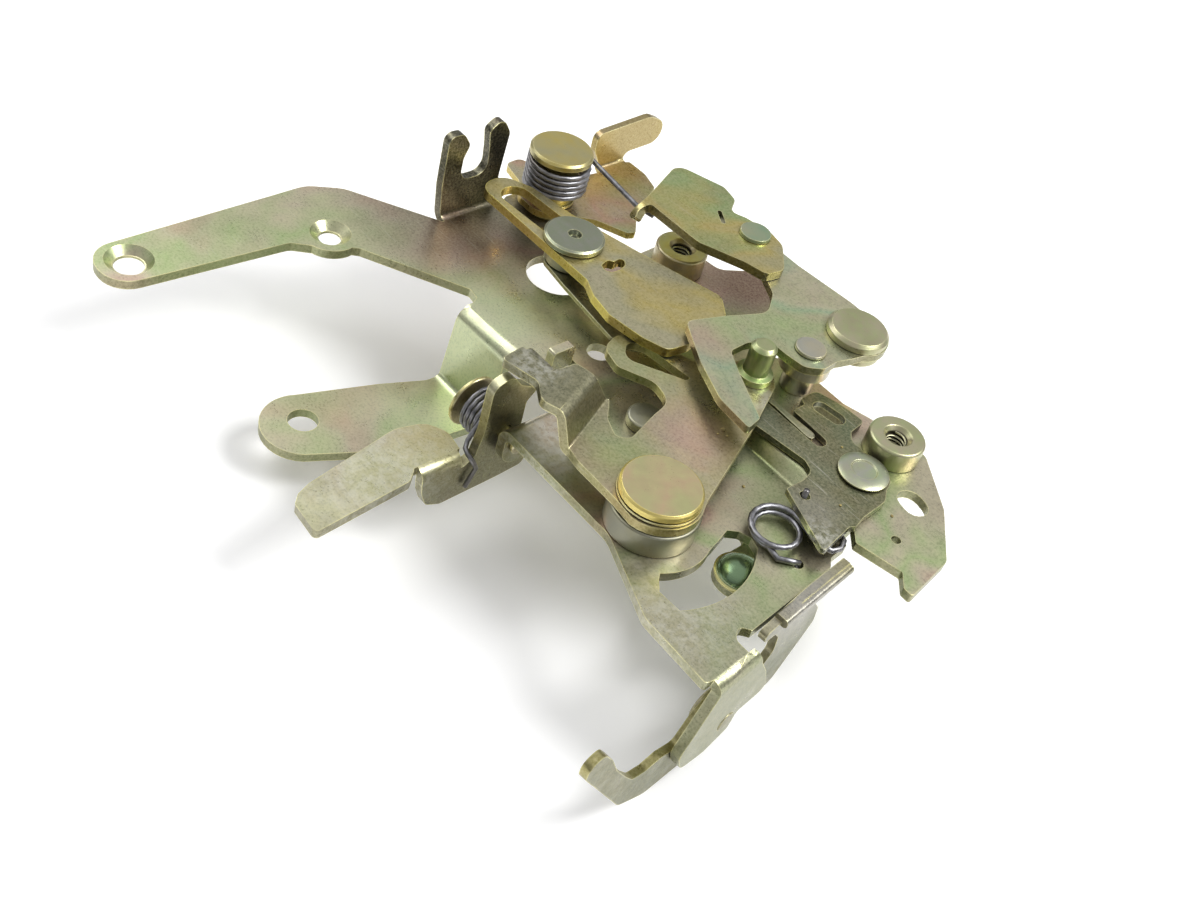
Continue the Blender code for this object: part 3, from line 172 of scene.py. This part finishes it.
def make_floor():
    low = CAD_BOX[0][2] - 0.0006
    bpy.ops.mesh.primitive_grid_add(x_subdivisions=4, y_subdivisions=4, size=9.0, location=(0.0, 0.0, low))
    floor = bpy.context.object
    floor.name = "floor"
    mat = bpy.data.materials.new("floor_paper")
    mat.use_nodes = True
    tree = mat.node_tree
    shader = tree.nodes["Principled BSDF"]
    shader.inputs["Roughness"].default_value = 0.9
    shader.inputs["Emission Color"].default_value = (1.0, 1.0, 1.0, 1)
    shader.inputs["Emission Strength"].default_value = 0.10
    noise = tree.nodes.new("ShaderNodeTexNoise")
    noise.inputs["Scale"].default_value = 6.0
    coord = tree.nodes.new("ShaderNodeTexCoord")
    mix = tree.nodes.new("ShaderNodeMix")
    mix.data_type = "RGBA"
    mix.inputs["A"].default_value = (0.93, 0.93, 0.94, 1)
    mix.inputs["B"].default_value = (0.97, 0.97, 0.97, 1)
    tree.links.new(coord.outputs["Object"], noise.inputs["Vector"])
    tree.links.new(noise.outputs["Fac"], mix.inputs["Factor"])
    tree.links.new(mix.outputs["Result"], shader.inputs["Base Color"])
    floor.data.materials.append(mat)


# Materials

class Tree:
    """Short calls for one material's nodes."""

    def __init__(self, name):
        self.mat = bpy.data.materials.new(name)
        self.mat.use_nodes = True
        self.tree = self.mat.node_tree
        self.shader = self.tree.nodes["Principled BSDF"]
        self.coord = self.tree.nodes.new("ShaderNodeTexCoord")

    def link(self, a, b):
        self.tree.links.new(a, b)

    def value(self, socket, given):
        if isinstance(given, (int, float, tuple)):
            socket.default_value = given
        else:
            self.link(given, socket)

    def mapped(self, scale=(1, 1, 1), turn=(0, 0, 0), shift=(0, 0, 0)):
        node = self.tree.nodes.new("ShaderNodeMapping")
        node.inputs["Scale"].default_value = scale
        node.inputs["Rotation"].default_value = turn
        node.inputs["Location"].default_value = shift
        self.link(self.coord.outputs["Object"], node.inputs["Vector"])
        return node.outputs["Vector"]

    def noise(self, vector, scale, detail=3.0, rough=0.5, warp=0.0):
        node = self.tree.nodes.new("ShaderNodeTexNoise")
        node.inputs["Scale"].default_value = scale
        node.inputs["Detail"].default_value = detail
        node.inputs["Roughness"].default_value = rough
        node.inputs["Distortion"].default_value = warp
        self.link(vector, node.inputs["Vector"])
        return node.outputs["Fac"]

    def spots(self, vector, scale):
        node = self.tree.nodes.new("ShaderNodeTexVoronoi")
        node.inputs["Scale"].default_value = scale
        self.link(vector, node.inputs["Vector"])
        return node.outputs["Distance"]

    def ramp(self, fac, stops):
        node = self.tree.nodes.new("ShaderNodeValToRGB")
        elements = node.color_ramp.elements
        while len(elements) < len(stops):
            elements.new(0.5)
        for element, (place, colour) in zip(elements, stops):
            element.position = place
            if isinstance(colour, (int, float)):
                colour = (colour, colour, colour)
            element.color = (*colour[:3], 1.0)
        self.link(fac, node.inputs["Fac"])
        return node.outputs["Color"]

    def mix(self, fac, a, b, blend="MIX"):
        node = self.tree.nodes.new("ShaderNodeMix")
        node.data_type = "RGBA"
        node.blend_type = blend
        node.clamp_factor = True
        self.value(node.inputs["Factor"], fac)
        for socket, given in ((node.inputs["A"], a), (node.inputs["B"], b)):
            self.value(socket, (*given[:3], 1.0) if isinstance(given, tuple) else given)
        return node.outputs["Result"]

    def math(self, how, a, b=None):
        node = self.tree.nodes.new("ShaderNodeMath")
        node.operation = how
        self.value(node.inputs[0], a)
        if b is not None:
            self.value(node.inputs[1], b)
        return node.outputs["Value"]

    def span(self, fac, low, high, to_low=0.0, to_high=1.0):
        node = self.tree.nodes.new("ShaderNodeMapRange")
        self.link(fac, node.inputs["Value"])
        node.inputs["From Min"].default_value = low
        node.inputs["From Max"].default_value = high
        node.inputs["To Min"].default_value = to_low
        node.inputs["To Max"].default_value = to_high
        return node.outputs["Result"]

    def edge(self, radius=0.00045):
        """1 near a sharp edge and 0 on open faces."""
        bevel = self.tree.nodes.new("ShaderNodeBevel")
        bevel.samples = 6
        bevel.inputs["Radius"].default_value = radius
        geo = self.tree.nodes.new("ShaderNodeNewGeometry")
        dot = self.tree.nodes.new("ShaderNodeVectorMath")
        dot.operation = "DOT_PRODUCT"
        self.link(bevel.outputs["Normal"], dot.inputs[0])
        self.link(geo.outputs["Normal"], dot.inputs[1])
        return self.span(dot.outputs["Value"], 0.995, 0.90)

    def crevice(self, distance=0.004):
        """1 in corners that neighbours shade, 0 in the open."""
        node = self.tree.nodes.new("ShaderNodeAmbientOcclusion")
        node.samples = 8
        node.inputs["Distance"].default_value = distance
        return self.span(node.outputs["AO"], 0.75, 0.15)

    def facing(self, axis):
        """1 on faces that look along the axis or against it."""
        dot = self.tree.nodes.new("ShaderNodeVectorMath")
        dot.operation = "DOT_PRODUCT"
        self.link(self.coord.outputs["Normal"], dot.inputs[0])
        dot.inputs[1].default_value = axis
        return self.span(self.math("ABSOLUTE", dot.outputs["Value"]), 0.35, 0.6)

    def place(self, middle, reach, soft=0.5):
        """1 near a place in the plate's millimetres, fading to 0 at `reach` millimetres."""
        node = self.tree.nodes.new("ShaderNodeVectorMath")
        node.operation = "DISTANCE"
        self.link(self.coord.outputs["Object"], node.inputs[0])
        node.inputs[1].default_value = at(*middle)
        return self.span(node.outputs["Value"], reach * MM, reach * MM * (1 - soft))

    def bump(self, height, strength, distance, below=None):
        node = self.tree.nodes.new("ShaderNodeBump")
        node.inputs["Strength"].default_value = strength
        node.inputs["Distance"].default_value = distance
        self.link(height, node.inputs["Height"])
        if below is not None:
            self.link(below, node.inputs["Normal"])
        return node.outputs["Normal"]


OLIVE = (0.42, 0.40, 0.24)
SAND = (0.50, 0.45, 0.31)
GOLD = (0.55, 0.45, 0.14)
LEAF = (0.34, 0.46, 0.18)
JADE = (0.30, 0.42, 0.27)
PINK = (0.54, 0.33, 0.26)
STEEL = (0.44, 0.44, 0.38)
# painted highlight colour for sharp edges
EDGE_HIGHLIGHT = (0.80, 0.76, 0.42)
# side face colours: painted shade; the gold one keeps some of the sheared edges' own gold
SIDE_SHADE = (0.19, 0.18, 0.09)
GOLD_SIDE = (0.50, 0.38, 0.07)
# dark specks and grain, and painted shade in crevices and bores
DIRT_AND_SHADE = (0.055, 0.047, 0.03)
PALE = (0.58, 0.53, 0.38)
FRESH = (0.42, 0.54, 0.25)
ROSE = (0.60, 0.40, 0.33)


def band_stops(bands):
    step = (BAND_HIGH - BAND_LOW) / (len(bands) - 1)
    return [(BAND_LOW + step * i, colour) for i, colour in enumerate(bands)]


def seeded_shift(seed):
    rng = random.Random(seed)
    return tuple(rng.uniform(-5, 5) for _ in range(3))


def passivate(name, bands, seed=0, edge=EDGE_HIGHLIGHT, sheet_axis=(0, 0, 1), side_shading=SIDE_SHADE, scale=26.0, rough=0.32,
              crevice_shade=0.55, scratch=0.16, metal=0.94, patches=(), scuffs=()):
    """Zinc under a thin coloured film: slow colour bands, brushed grain, specks, scratches, painted
    highlights on edges, painted shade in crevices, and a painted side tone on faces that turn away from the
    sheet.
    """
    t = Tree(name)
    shift = seeded_shift(seed)
    plain = t.mapped(shift=shift)
    film = t.noise(plain, scale, 2.5, 0.55, 0.6)
    colour = t.ramp(film, band_stops(bands))
    mottle = t.noise(plain, scale * 7, 4.0, 0.6)
    colour = t.mix(t.span(mottle, 0.35, 0.7, 0.0, 0.3), colour, bands[0])
    cloud = t.noise(plain, scale * 1.7, 3.0, 0.6, 0.3)
    colour = t.mix(t.span(cloud, 0.5, 0.72, 0.0, 0.35), colour, tuple(c * 0.55 for c in bands[0]))
    # painted shade: sheared sides and sheets that stand upright take the side shading colour (a painted
    # highlight where a caller gives a lighter one, as on the hook)
    faces = t.facing(sheet_axis)
    colour = t.mix(faces, t.mix(0.78, colour, side_shading), colour)
    # patches tint the film near a place; some callers use dark ones as painted shade and a pale one as a
    # painted highlight
    for middle, reach, tint, amount in patches:
        near = t.place(middle, reach, 0.8)
        colour = t.mix(t.math("MULTIPLY", near, amount), colour, tint)
    grain = t.noise(plain, 1500.0, 3.0, 0.7)
    colour = t.mix(t.span(grain, 0.4, 0.75, 0.0, 0.28), colour, tuple(min(1, c * 1.5) for c in SAND))
    colour = t.mix(t.span(grain, 0.5, 0.3, 0.0, 0.22), colour, DIRT_AND_SHADE)
    # specks, scratches and scuffs; then a painted highlight along edges and painted shade in crevices
    speck = t.span(t.spots(plain, 1300.0), 0.16, 0.06)
    sparse = t.span(t.noise(plain, 260, 2.0), 0.56, 0.66)
    colour = t.mix(t.math("MULTIPLY", t.math("MULTIPLY", speck, sparse), 0.22), colour, DIRT_AND_SHADE)
    lines = None
    for turn in (0.5, 1.9, 2.7):
        fine = t.noise(t.mapped(scale=(110, 2200, 2200), turn=(0, 0, turn), shift=shift), 1.0, 2.0, 0.4, 0.08)
        cut = t.span(fine, 0.69, 0.75)
        lines = cut if lines is None else t.math("MAXIMUM", lines, cut)
    colour = t.mix(t.math("MULTIPLY", lines, scratch), colour, (0.72, 0.70, 0.60))
    for middle, reach, amount in scuffs:
        flecks = t.span(t.noise(plain, 420, 4.0, 0.7), 0.42, 0.6)
        near = t.math("MULTIPLY", t.place(middle, reach, 0.7), flecks)
        colour = t.mix(t.math("MULTIPLY", near, amount), colour, (0.80, 0.79, 0.70))
    # painted highlight: a patchy bright band along sharp edges
    edge_glint = t.math("MULTIPLY", t.edge(), t.span(t.noise(plain, 190, 3.0), 0.3, 0.6, 0.2, 1.0))
    colour = t.mix(edge_glint, colour, edge)
    # painted shade: patchy darkening in crevices, which also makes them rougher
    if crevice_shade > 0:
        crevice_shade_mask = t.math("MULTIPLY", t.crevice(), t.span(t.noise(plain, 120, 4.0, 0.6), 0.3, 0.62, 0.2, 1.0))
        colour = t.mix(t.math("MULTIPLY", crevice_shade_mask, crevice_shade), colour, DIRT_AND_SHADE)
        dull = t.math("MULTIPLY", crevice_shade_mask, 0.3 * crevice_shade)
    t.link(colour, t.shader.inputs["Base Color"])
    t.shader.inputs["Metallic"].default_value = metal
    gloss = t.span(mottle, 0.3, 0.7, rough - 0.06, rough + 0.08)
    gloss = t.math("ADD", gloss, t.span(grain, 0.3, 0.7, -0.04, 0.05))
    if crevice_shade > 0:
        gloss = t.math("ADD", gloss, dull)
    t.link(gloss, t.shader.inputs["Roughness"])
    skin = t.bump(t.noise(plain, 30, 2.0), 0.12, 0.004)
    skin = t.bump(grain, 0.10, 0.0003, skin)
    skin = t.bump(t.math("SUBTRACT", 1.0, lines), 0.05, 0.0002, skin)
    t.link(skin, t.shader.inputs["Normal"])
    return t.mat


def spring_steel(name, tint=(0.19, 0.19, 0.20)):
    """Dull wire with oily brown patches."""
    t = Tree(name)
    plain = t.mapped()
    dull = t.noise(plain, 500, 3.0, 0.6)
    colour = t.mix(t.span(dull, 0.35, 0.7), tint, tuple(c * 2.1 for c in tint))
    colour = t.mix(t.span(t.noise(plain, 90, 2.0), 0.5, 0.7, 0.0, 0.6), colour, (0.13, 0.11, 0.08))
    t.link(colour, t.shader.inputs["Base Color"])
    t.shader.inputs["Metallic"].default_value = 0.95
    t.link(t.span(dull, 0.3, 0.7, 0.30, 0.46), t.shader.inputs["Roughness"])
    t.link(t.bump(dull, 0.15, 0.0002), t.shader.inputs["Normal"])
    return t.mat


def turned_steel(name, middle, bands, seed=0, rough=0.34, edge=EDGE_HIGHLIGHT, crevice_shade=0.5, bore=0.0, rim=None):
    """A turned face: fine rings round the axis over the coloured film."""
    t = Tree(name)
    plain = t.mapped(shift=seeded_shift(seed))
    film = t.noise(plain, 55, 2.5, 0.55, 0.4)
    colour = t.ramp(film, band_stops(bands))
    away = t.tree.nodes.new("ShaderNodeVectorMath")
    away.operation = "SUBTRACT"
    t.link(t.coord.outputs["Object"], away.inputs[0])
    away.inputs[1].default_value = at(*middle)
    split = t.tree.nodes.new("ShaderNodeSeparateXYZ")
    t.link(away.outputs["Vector"], split.inputs[0])
    across = t.math("ADD", t.math("POWER", split.outputs["X"], 2.0), t.math("POWER", split.outputs["Y"], 2.0))
    radius = t.math("SQRT", across)
    wobble = t.math("ADD", radius, t.math("MULTIPLY", t.noise(plain, 300, 2.0), 0.0001))
    rings = t.math("SINE", t.math("MULTIPLY", wobble, 2 * math.pi / (RING_PITCH * MM)))
    mottle = t.noise(plain, 380, 4.0, 0.6)
    colour = t.mix(t.span(mottle, 0.35, 0.7, 0.0, 0.4), colour, bands[-1])
    if rim:
        colour = t.mix(t.span(radius, rim[0] * MM, rim[0] * MM + 0.0002), colour, rim[1])
    # painted shade: the bore's wall is darkened
    if bore:
        colour = t.mix(t.span(radius, bore * MM + 0.0002, bore * MM), colour, DIRT_AND_SHADE)
    speck = t.span(t.spots(plain, 1500.0), 0.18, 0.06)
    sparse = t.span(t.noise(plain, 300, 2.0), 0.5, 0.62)
    colour = t.mix(t.math("MULTIPLY", t.math("MULTIPLY", speck, sparse), 0.5), colour, DIRT_AND_SHADE)
    # painted highlight along sharp edges
    colour = t.mix(t.math("MULTIPLY", t.edge(0.0005), 0.8), colour, edge)
    # painted shade: patchy darkening in crevices
    crevice_shade_mask = t.math("MULTIPLY", t.crevice(0.003), t.span(t.noise(plain, 150, 4.0, 0.6), 0.3, 0.6, 0.2, 1.0))
    colour = t.mix(t.math("MULTIPLY", crevice_shade_mask, crevice_shade), colour, DIRT_AND_SHADE)
    t.link(colour, t.shader.inputs["Base Color"])
    t.shader.inputs["Metallic"].default_value = 0.92
    t.link(t.span(mottle, 0.3, 0.7, rough - 0.05, rough + 0.09), t.shader.inputs["Roughness"])
    skin = t.bump(t.math("MULTIPLY", rings, t.span(t.noise(plain, 120, 2.0), 0.35, 0.65)), 0.05, 0.0001)
    skin = t.bump(mottle, 0.12, 0.0003, skin)
    t.link(skin, t.shader.inputs["Normal"])
    return t.mat


# CAD nodes

def dress(name, material, bevel=0.22, angle=28):
    """Give a CAD node its material, soft edges and smooth shading."""
    node = nodes[name]
    node.data.materials.clear()
    node.data.materials.append(material)
    for face in node.data.polygons:
        face.use_smooth = True
    weld = node.modifiers.new("weld", "WELD")
    weld.merge_threshold = 1e-6
    soft = node.modifiers.new("soft_edges", "BEVEL")
    soft.width = bevel * MM
    soft.segments = 2
    soft.limit_method = "ANGLE"
    soft.angle_limit = math.radians(angle)
    soft.harden_normals = True
    soft.use_clamp_overlap = True
    even = node.modifiers.new("even_normals", "WEIGHTED_NORMAL")
    even.mode = "FACE_AREA"
    even.weight = 90
    even.keep_sharp = True


def dress_base():
    bands = [SAND, PALE, FRESH, PALE, ROSE, SAND]
    # painted shade: the near-black patch on the fork, the dark ones at (-22, 24) and (10, 30) under the
    # release and lock levers, and the dark brown one at (-50, 86) under the finger plate; the rest are tints
    # of the film
    patches = [
        ((-60, 20, 0), 34, PALE, 0.5), ((-120, -30, 0), 26, FRESH, 0.45),
        ((-68, 5, -12), 34, (0.62, 0.70, 0.44), 0.9), ((-85, -30, -24), 16, FRESH, 0.5),
        ((-98, 22, 0), 22, ROSE, 0.4), ((20, -14, 0), 24, PALE, 0.6),
        ((-112, 34, 18), 40, (0.05, 0.05, 0.035), 1.0), ((44, -12, -18), 44, (0.30, 0.31, 0.20), 0.95),
        ((-50, 86, 0), 24, (0.22, 0.14, 0.10), 1.0), ((-22, 24, 0), 16, (0.20, 0.18, 0.14), 0.55),
        ((10, 30, 0), 14, (0.24, 0.22, 0.13), 0.4)]
    scuffs = [((-30, -6, 0), 18, 0.5), ((20, -14, 0), 22, 0.35)]
    zinc = passivate("zinc_plate", bands, 3, scale=24.0, side_shading=(0.20, 0.21, 0.10),
                     patches=patches, scuffs=scuffs)
    dress("base_plate", zinc, 0.3)


def dress_release():
    # painted shade: the dark olive patch over the bridge and its ears at (-38, -4, 16)
    patches = [
        ((-10, 21, 9), 14, ROSE, 0.7), ((-38, -4, 16), 36, (0.22, 0.22, 0.14), 0.95),
        ((-34, 28, 9), 14, LEAF, 0.45), ((-14, 0, 9), 14, LEAF, 0.5)]
    scuffs = [((-12, 44, 9), 10, 0.4), ((-40, -4, 16), 9, 0.5)]
    zinc = passivate("zinc_gold", [GOLD, OLIVE, SAND, PINK, GOLD], 8, scale=30.0, side_shading=(0.30, 0.25, 0.08),
                     patches=patches, scuffs=scuffs)
    dress("release_lever", zinc, 0.35)
    dress("under_lever", passivate("zinc_under", [OLIVE, JADE, SAND], 11))


def dress_claw():
    bands = [FRESH, SAND, (0.38, 0.50, 0.34), PALE, SAND]
    patches = [((-30, 40, 15), 12, ROSE, 0.45), ((-25, 60, 15), 18, FRESH, 0.5)]
    dress("claw_lever", passivate("zinc_claw", bands, 14, scale=30.0, patches=patches), 0.35)
    dress("finger_plate", passivate("zinc_finger_plate", [OLIVE, GOLD, LEAF, OLIVE], 21, scale=34.0), 0.35)


def dress_slotted():
    bands = [SAND, OLIVE, GOLD, OLIVE, SAND]
    zinc = passivate("zinc_slotted", bands, 25, scale=30.0, edge=(0.85, 0.76, 0.22), side_shading=GOLD_SIDE)
    dress("slotted_link", zinc, 0.35)


def dress_lock():
    bands = [(0.14, 0.19, 0.11), (0.20, 0.22, 0.15), (0.20, 0.19, 0.10), (0.14, 0.19, 0.11)]
    zinc = passivate("zinc_lock", bands, 31, scale=34.0, scratch=0.35, side_shading=(0.16, 0.17, 0.13),
                     patches=[((20, 32, 6), 10, (0.34, 0.33, 0.28), 0.6)], scuffs=[((26, 27, 6), 7, 0.7)])
    dress("lock_lever", zinc, 0.2)
    dress("lock_link", passivate("zinc_link", [STEEL, OLIVE, JADE], 35, scale=34.0), 0.2)


def dress_finger():
    zinc = passivate("zinc_finger", [GOLD, LEAF, OLIVE, PINK, SAND], 41, scale=34.0, side_shading=GOLD_SIDE,
                     patches=[((-108, 92, 12), 34, (0.36, 0.28, 0.12), 0.95)])
    dress("finger_lever", zinc, 0.3)


def dress_paddle():
    bands = [PALE, (0.60, 0.60, 0.38), (0.52, 0.52, 0.30), PALE]
    zinc = passivate("zinc_paddle", bands, 45, scale=40.0, scratch=0.3, side_shading=(0.20, 0.19, 0.12),
                     patches=[((-52, -20, -8), 14, GOLD, 0.4)], scuffs=[((-49, -40, -8), 26, 0.35)])
    dress("paddle_lever", zinc, 0.3)


def dress_hook():
    # painted highlight: the lighter side tone and the pale patch on the top bar at (34, 14, 1)
    bands = [(0.11, 0.13, 0.06), (0.17, 0.17, 0.08), (0.18, 0.15, 0.05)]
    zinc = passivate("zinc_hook", bands, 51, scale=34.0, sheet_axis=FLANGE_OUT, side_shading=(0.40, 0.36, 0.15),
                     patches=[((34, 14, 1), 22, (0.40, 0.39, 0.36), 0.9)])
    dress("hook_lever", zinc, 0.3)


def dress_pivot():
    heads = [(0.50, 0.47, 0.25), (0.60, 0.46, 0.28), (0.48, 0.50, 0.24)]
    collar = [(0.27, 0.27, 0.22), (0.25, 0.24, 0.16), (0.29, 0.29, 0.24)]
    head = turned_steel("pivot_head", (*PIVOT, 12), heads, 3, edge=(0.90, 0.76, 0.24),
                        rim=(9.0, (0.70, 0.58, 0.20)))
    dress("main_pivot", head, 0.2)
    dress("pivot_washer", turned_steel("washer_steel", (*PIVOT, 9), [OLIVE, GOLD, SAND], 5), 0.1)
    dress("pivot_bushing", turned_steel("bushing_steel", (*PIVOT, 5), collar, 6, rough=0.42), 0.2)


def dress_studs():
    slide = [(0.25, 0.26, 0.18), (0.30, 0.31, 0.25), (0.22, 0.27, 0.15)]
    dome = [(0.12, 0.20, 0.12), (0.22, 0.32, 0.18)]
    dress("slide_stud", turned_steel("slide_head", (*SLIDE, 14), slide, 7), 0.2)
    dress("slide_spacer", turned_steel("spacer_steel", (*SLIDE, 9), [STEEL, OLIVE], 8), 0.1)
    dress("finger_post", turned_steel("finger_head", (*FINGER_POST, 19), [OLIVE, GOLD, OLIVE], 9), 0.2)
    dress("claw_stud", turned_steel("claw_head", (-11.3, 79.3, 18), [OLIVE, SAND, LEAF], 10), 0.2)
    dress("claw_post", turned_steel("claw_post_steel", (-13, 63, 16), [OLIVE, STEEL, SAND], 11), 0.2)
    dress("release_pin", turned_steel("pin_steel", (-17.3, 49.2, 19), [OLIVE, LEAF, SAND], 12), 0.2)
    dress("lock_pivot", turned_steel("lock_head", (18.3, 52.3, 7), [OLIVE, STEEL, LEAF], 13), 0.15)
    glossy = turned_steel("dome_steel", (18.9, 13.5, -4), dome, 14, rough=0.2, edge=(0.6, 0.56, 0.3),
                          rim=(5.6, (0.55, 0.52, 0.22)))
    dress("dome_stud", glossy, 0.1)


def dress_rivets():
    pin = passivate("pin_zinc", [GOLD, SAND, OLIVE], 55, sheet_axis=(1, 0, 0), side_shading=(0.50, 0.46, 0.18))
    dress("finger_plate_rivet", turned_steel("plate_rivet", (-51, 81.3, 19), [SAND, JADE, OLIVE], 15), 0.2)
    dress("stop_rivet", turned_steel("stop_steel", (-24.3, 21.3, 3), [STEEL, OLIVE], 18, crevice_shade=0.8), 0.2)
    dress("paddle_pin", pin, 0.15)
    dress("hook_rivet", passivate("hook_rivet_zinc", [SAND, OLIVE, JADE], 56), 0.15)


def dress_bosses():
    right = turned_steel("boss_steel", (*RIGHT_BOSS, 9), [OLIVE, SAND, LEAF], 16, bore=BORE_R + 0.1)
    back = turned_steel("boss_steel_back", (*BACK_BOSS, 7), [OLIVE, SAND, GOLD], 17, bore=BORE_R + 0.1)
    dress("right_boss", right, 0.2)
    dress("back_boss", back, 0.2)


def dress_all():
    dress_base()
    dress_release()
    dress_claw()
    dress_slotted()
    dress_lock()
    dress_finger()
    dress_paddle()
    dress_hook()
    dress_pivot()
    dress_studs()
    dress_rivets()
    dress_bosses()
    dress_springs()


def live_spring(name):
    """A welded copy of a spring's node, which hides the node."""
    bm = bmesh.new()
    bm.from_mesh(nodes[name].data)
    bmesh.ops.remove_doubles(bm, verts=bm.verts[:], dist=1e-6)
    mesh = bpy.data.meshes.new(name + "_wire")
    bm.to_mesh(mesh)
    bm.free()
    piece = bpy.data.objects.new(name + "_wire", mesh)
    bpy.context.scene.collection.objects.link(piece)
    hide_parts(name)
    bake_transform(piece)
    return piece


def dress_springs():
    coil = spring_steel("spring_wire")
    still = nodes["finger_spring"]
    weld = still.modifiers.new("weld", "WELD")
    weld.merge_threshold = 1e-6
    lock_leg = live_spring("toggle_spring")
    paddle_leg = live_spring("paddle_spring")
    for piece in (still, lock_leg, paddle_leg):
        piece.data.materials.clear()
        piece.data.materials.append(coil)
        for face in piece.data.polygons:
            face.use_smooth = True


# Added pieces

def add_piece(name, mesh, body, material):
    obj = bpy.data.objects.new(name, mesh)
    bpy.context.scene.collection.objects.link(obj)
    mesh.materials.append(material)
    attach(obj, body)


def make_thread(name, x, y, top, depth, bore, material):
    """A helical ridge of trapezoid section inside a boss, fading out at both ends."""
    steps, fade_steps = 24, 6
    bm = bmesh.new()
    last = None
    count = int(depth / THREAD_PITCH * steps)
    foot = bore + THREAD_SEAT
    for i in range(count + 1):
        a = 2 * math.pi * i / steps
        z = top - depth + THREAD_PITCH * i / steps
        fade = min(1.0, i / fade_steps, (count - i) / fade_steps)
        crest = bore - THREAD_DEEP * max(0.05, fade)
        section = ((foot, -THREAD_FOOT), (crest, -THREAD_CREST), (crest, THREAD_CREST), (foot, THREAD_FOOT))
        ring = []
        for r, dz in section:
            ring.append(bm.verts.new(at(x + r * math.cos(a), y + r * math.sin(a), z + dz)))
        if last:
            for k in range(4):
                bm.faces.new((last[k], last[(k + 1) % 4], ring[(k + 1) % 4], ring[k]))
        else:
            bm.faces.new(ring[::-1])
        last = ring
    bm.faces.new(last)
    bmesh.ops.recalc_face_normals(bm, faces=bm.faces[:])
    mesh = bpy.data.meshes.new(name)
    bm.to_mesh(mesh)
    bm.free()
    for face in mesh.polygons:
        face.use_smooth = True
    add_piece(name, mesh, "base", material)


def add_threads():
    steel = turned_steel("thread_steel", (*RIGHT_BOSS, 9), [OLIVE, STEEL], 61, crevice_shade=0.8)
    make_thread("right_thread", *RIGHT_BOSS, 8.0, 6.4, BORE_R, steel)
    make_thread("back_thread", *BACK_BOSS, 5.3, 6.0, BORE_R, steel)


def make_crumb(name, place, size, seed, body, material):
    """A small lump of dried grease or grit."""
    rng = random.Random(seed)
    bm = bmesh.new()
    bmesh.ops.create_icosphere(bm, subdivisions=2, radius=size * MM)
    for vert in bm.verts:
        vert.co *= rng.uniform(0.75, 1.2)
        vert.co.z *= 0.55
        vert.co += at(*place)
    mesh = bpy.data.meshes.new(name)
    bm.to_mesh(mesh)
    bm.free()
    for face in mesh.polygons:
        face.use_smooth = True
    add_piece(name, mesh, body, material)


def add_crumbs():
    t = Tree("dried_grease")
    lumps = t.noise(t.mapped(), 900, 3.0, 0.6)
    colour = t.ramp(lumps, [(0.3, (0.16, 0.12, 0.04)), (0.7, (0.42, 0.34, 0.12))])
    t.link(colour, t.shader.inputs["Base Color"])
    t.shader.inputs["Roughness"].default_value = 0.7
    spots = [
        ((-7.4, 28.3, 9.1), 0.55, "release"), ((-5.5, 27.7, 9.1), 0.35, "release"),
        ((-7.1, 26.2, 9.1), 0.3, "release"), ((-55.6, 8.6, 0.1), 0.8, "base"),
        ((-54.0, 10.4, 0.1), 0.5, "base"), ((-57.5, 13.0, 0.1), 0.6, "base"),
        ((-50.6, 16.0, 0.1), 0.45, "base"), ((-18.5, 14.0, 0.1), 0.5, "base"),
        ((3.4, 28.0, 0.1), 0.4, "base"), ((-30.0, 30.5, 0.1), 0.5, "base"),
        ((-92.0, 44.0, 0.1), 0.45, "base"), ((-110.0, 57.4, 0.1), 1.0, "base"),
        ((-112.2, 55.6, 0.1), 0.8, "base"), ((30.5, 50.0, 3.8), 0.4, "base"),
        ((9.6, 54.5, 5.8), 0.35, "lock"), ((22.5, 39.0, 5.8), 0.35, "lock")]
    for i, (place, size, body) in enumerate(spots):
        make_crumb(f"crumb_{i}", place, size, 70 + i, body, t.mat)


make_camera()
make_light()
make_lamp("key", (0.55, 0.45, 0.85), (0.0, 0.0, 0.0), 0.5, 9.0)
make_lamp("fill", (-0.7, -0.1, 0.8), (0.0, 0.0, 0.0), 0.8, 4.0)
make_floor()
dress_all()
add_threads()
add_crumbs()
bpy.context.scene.view_settings.view_transform = "Standard"
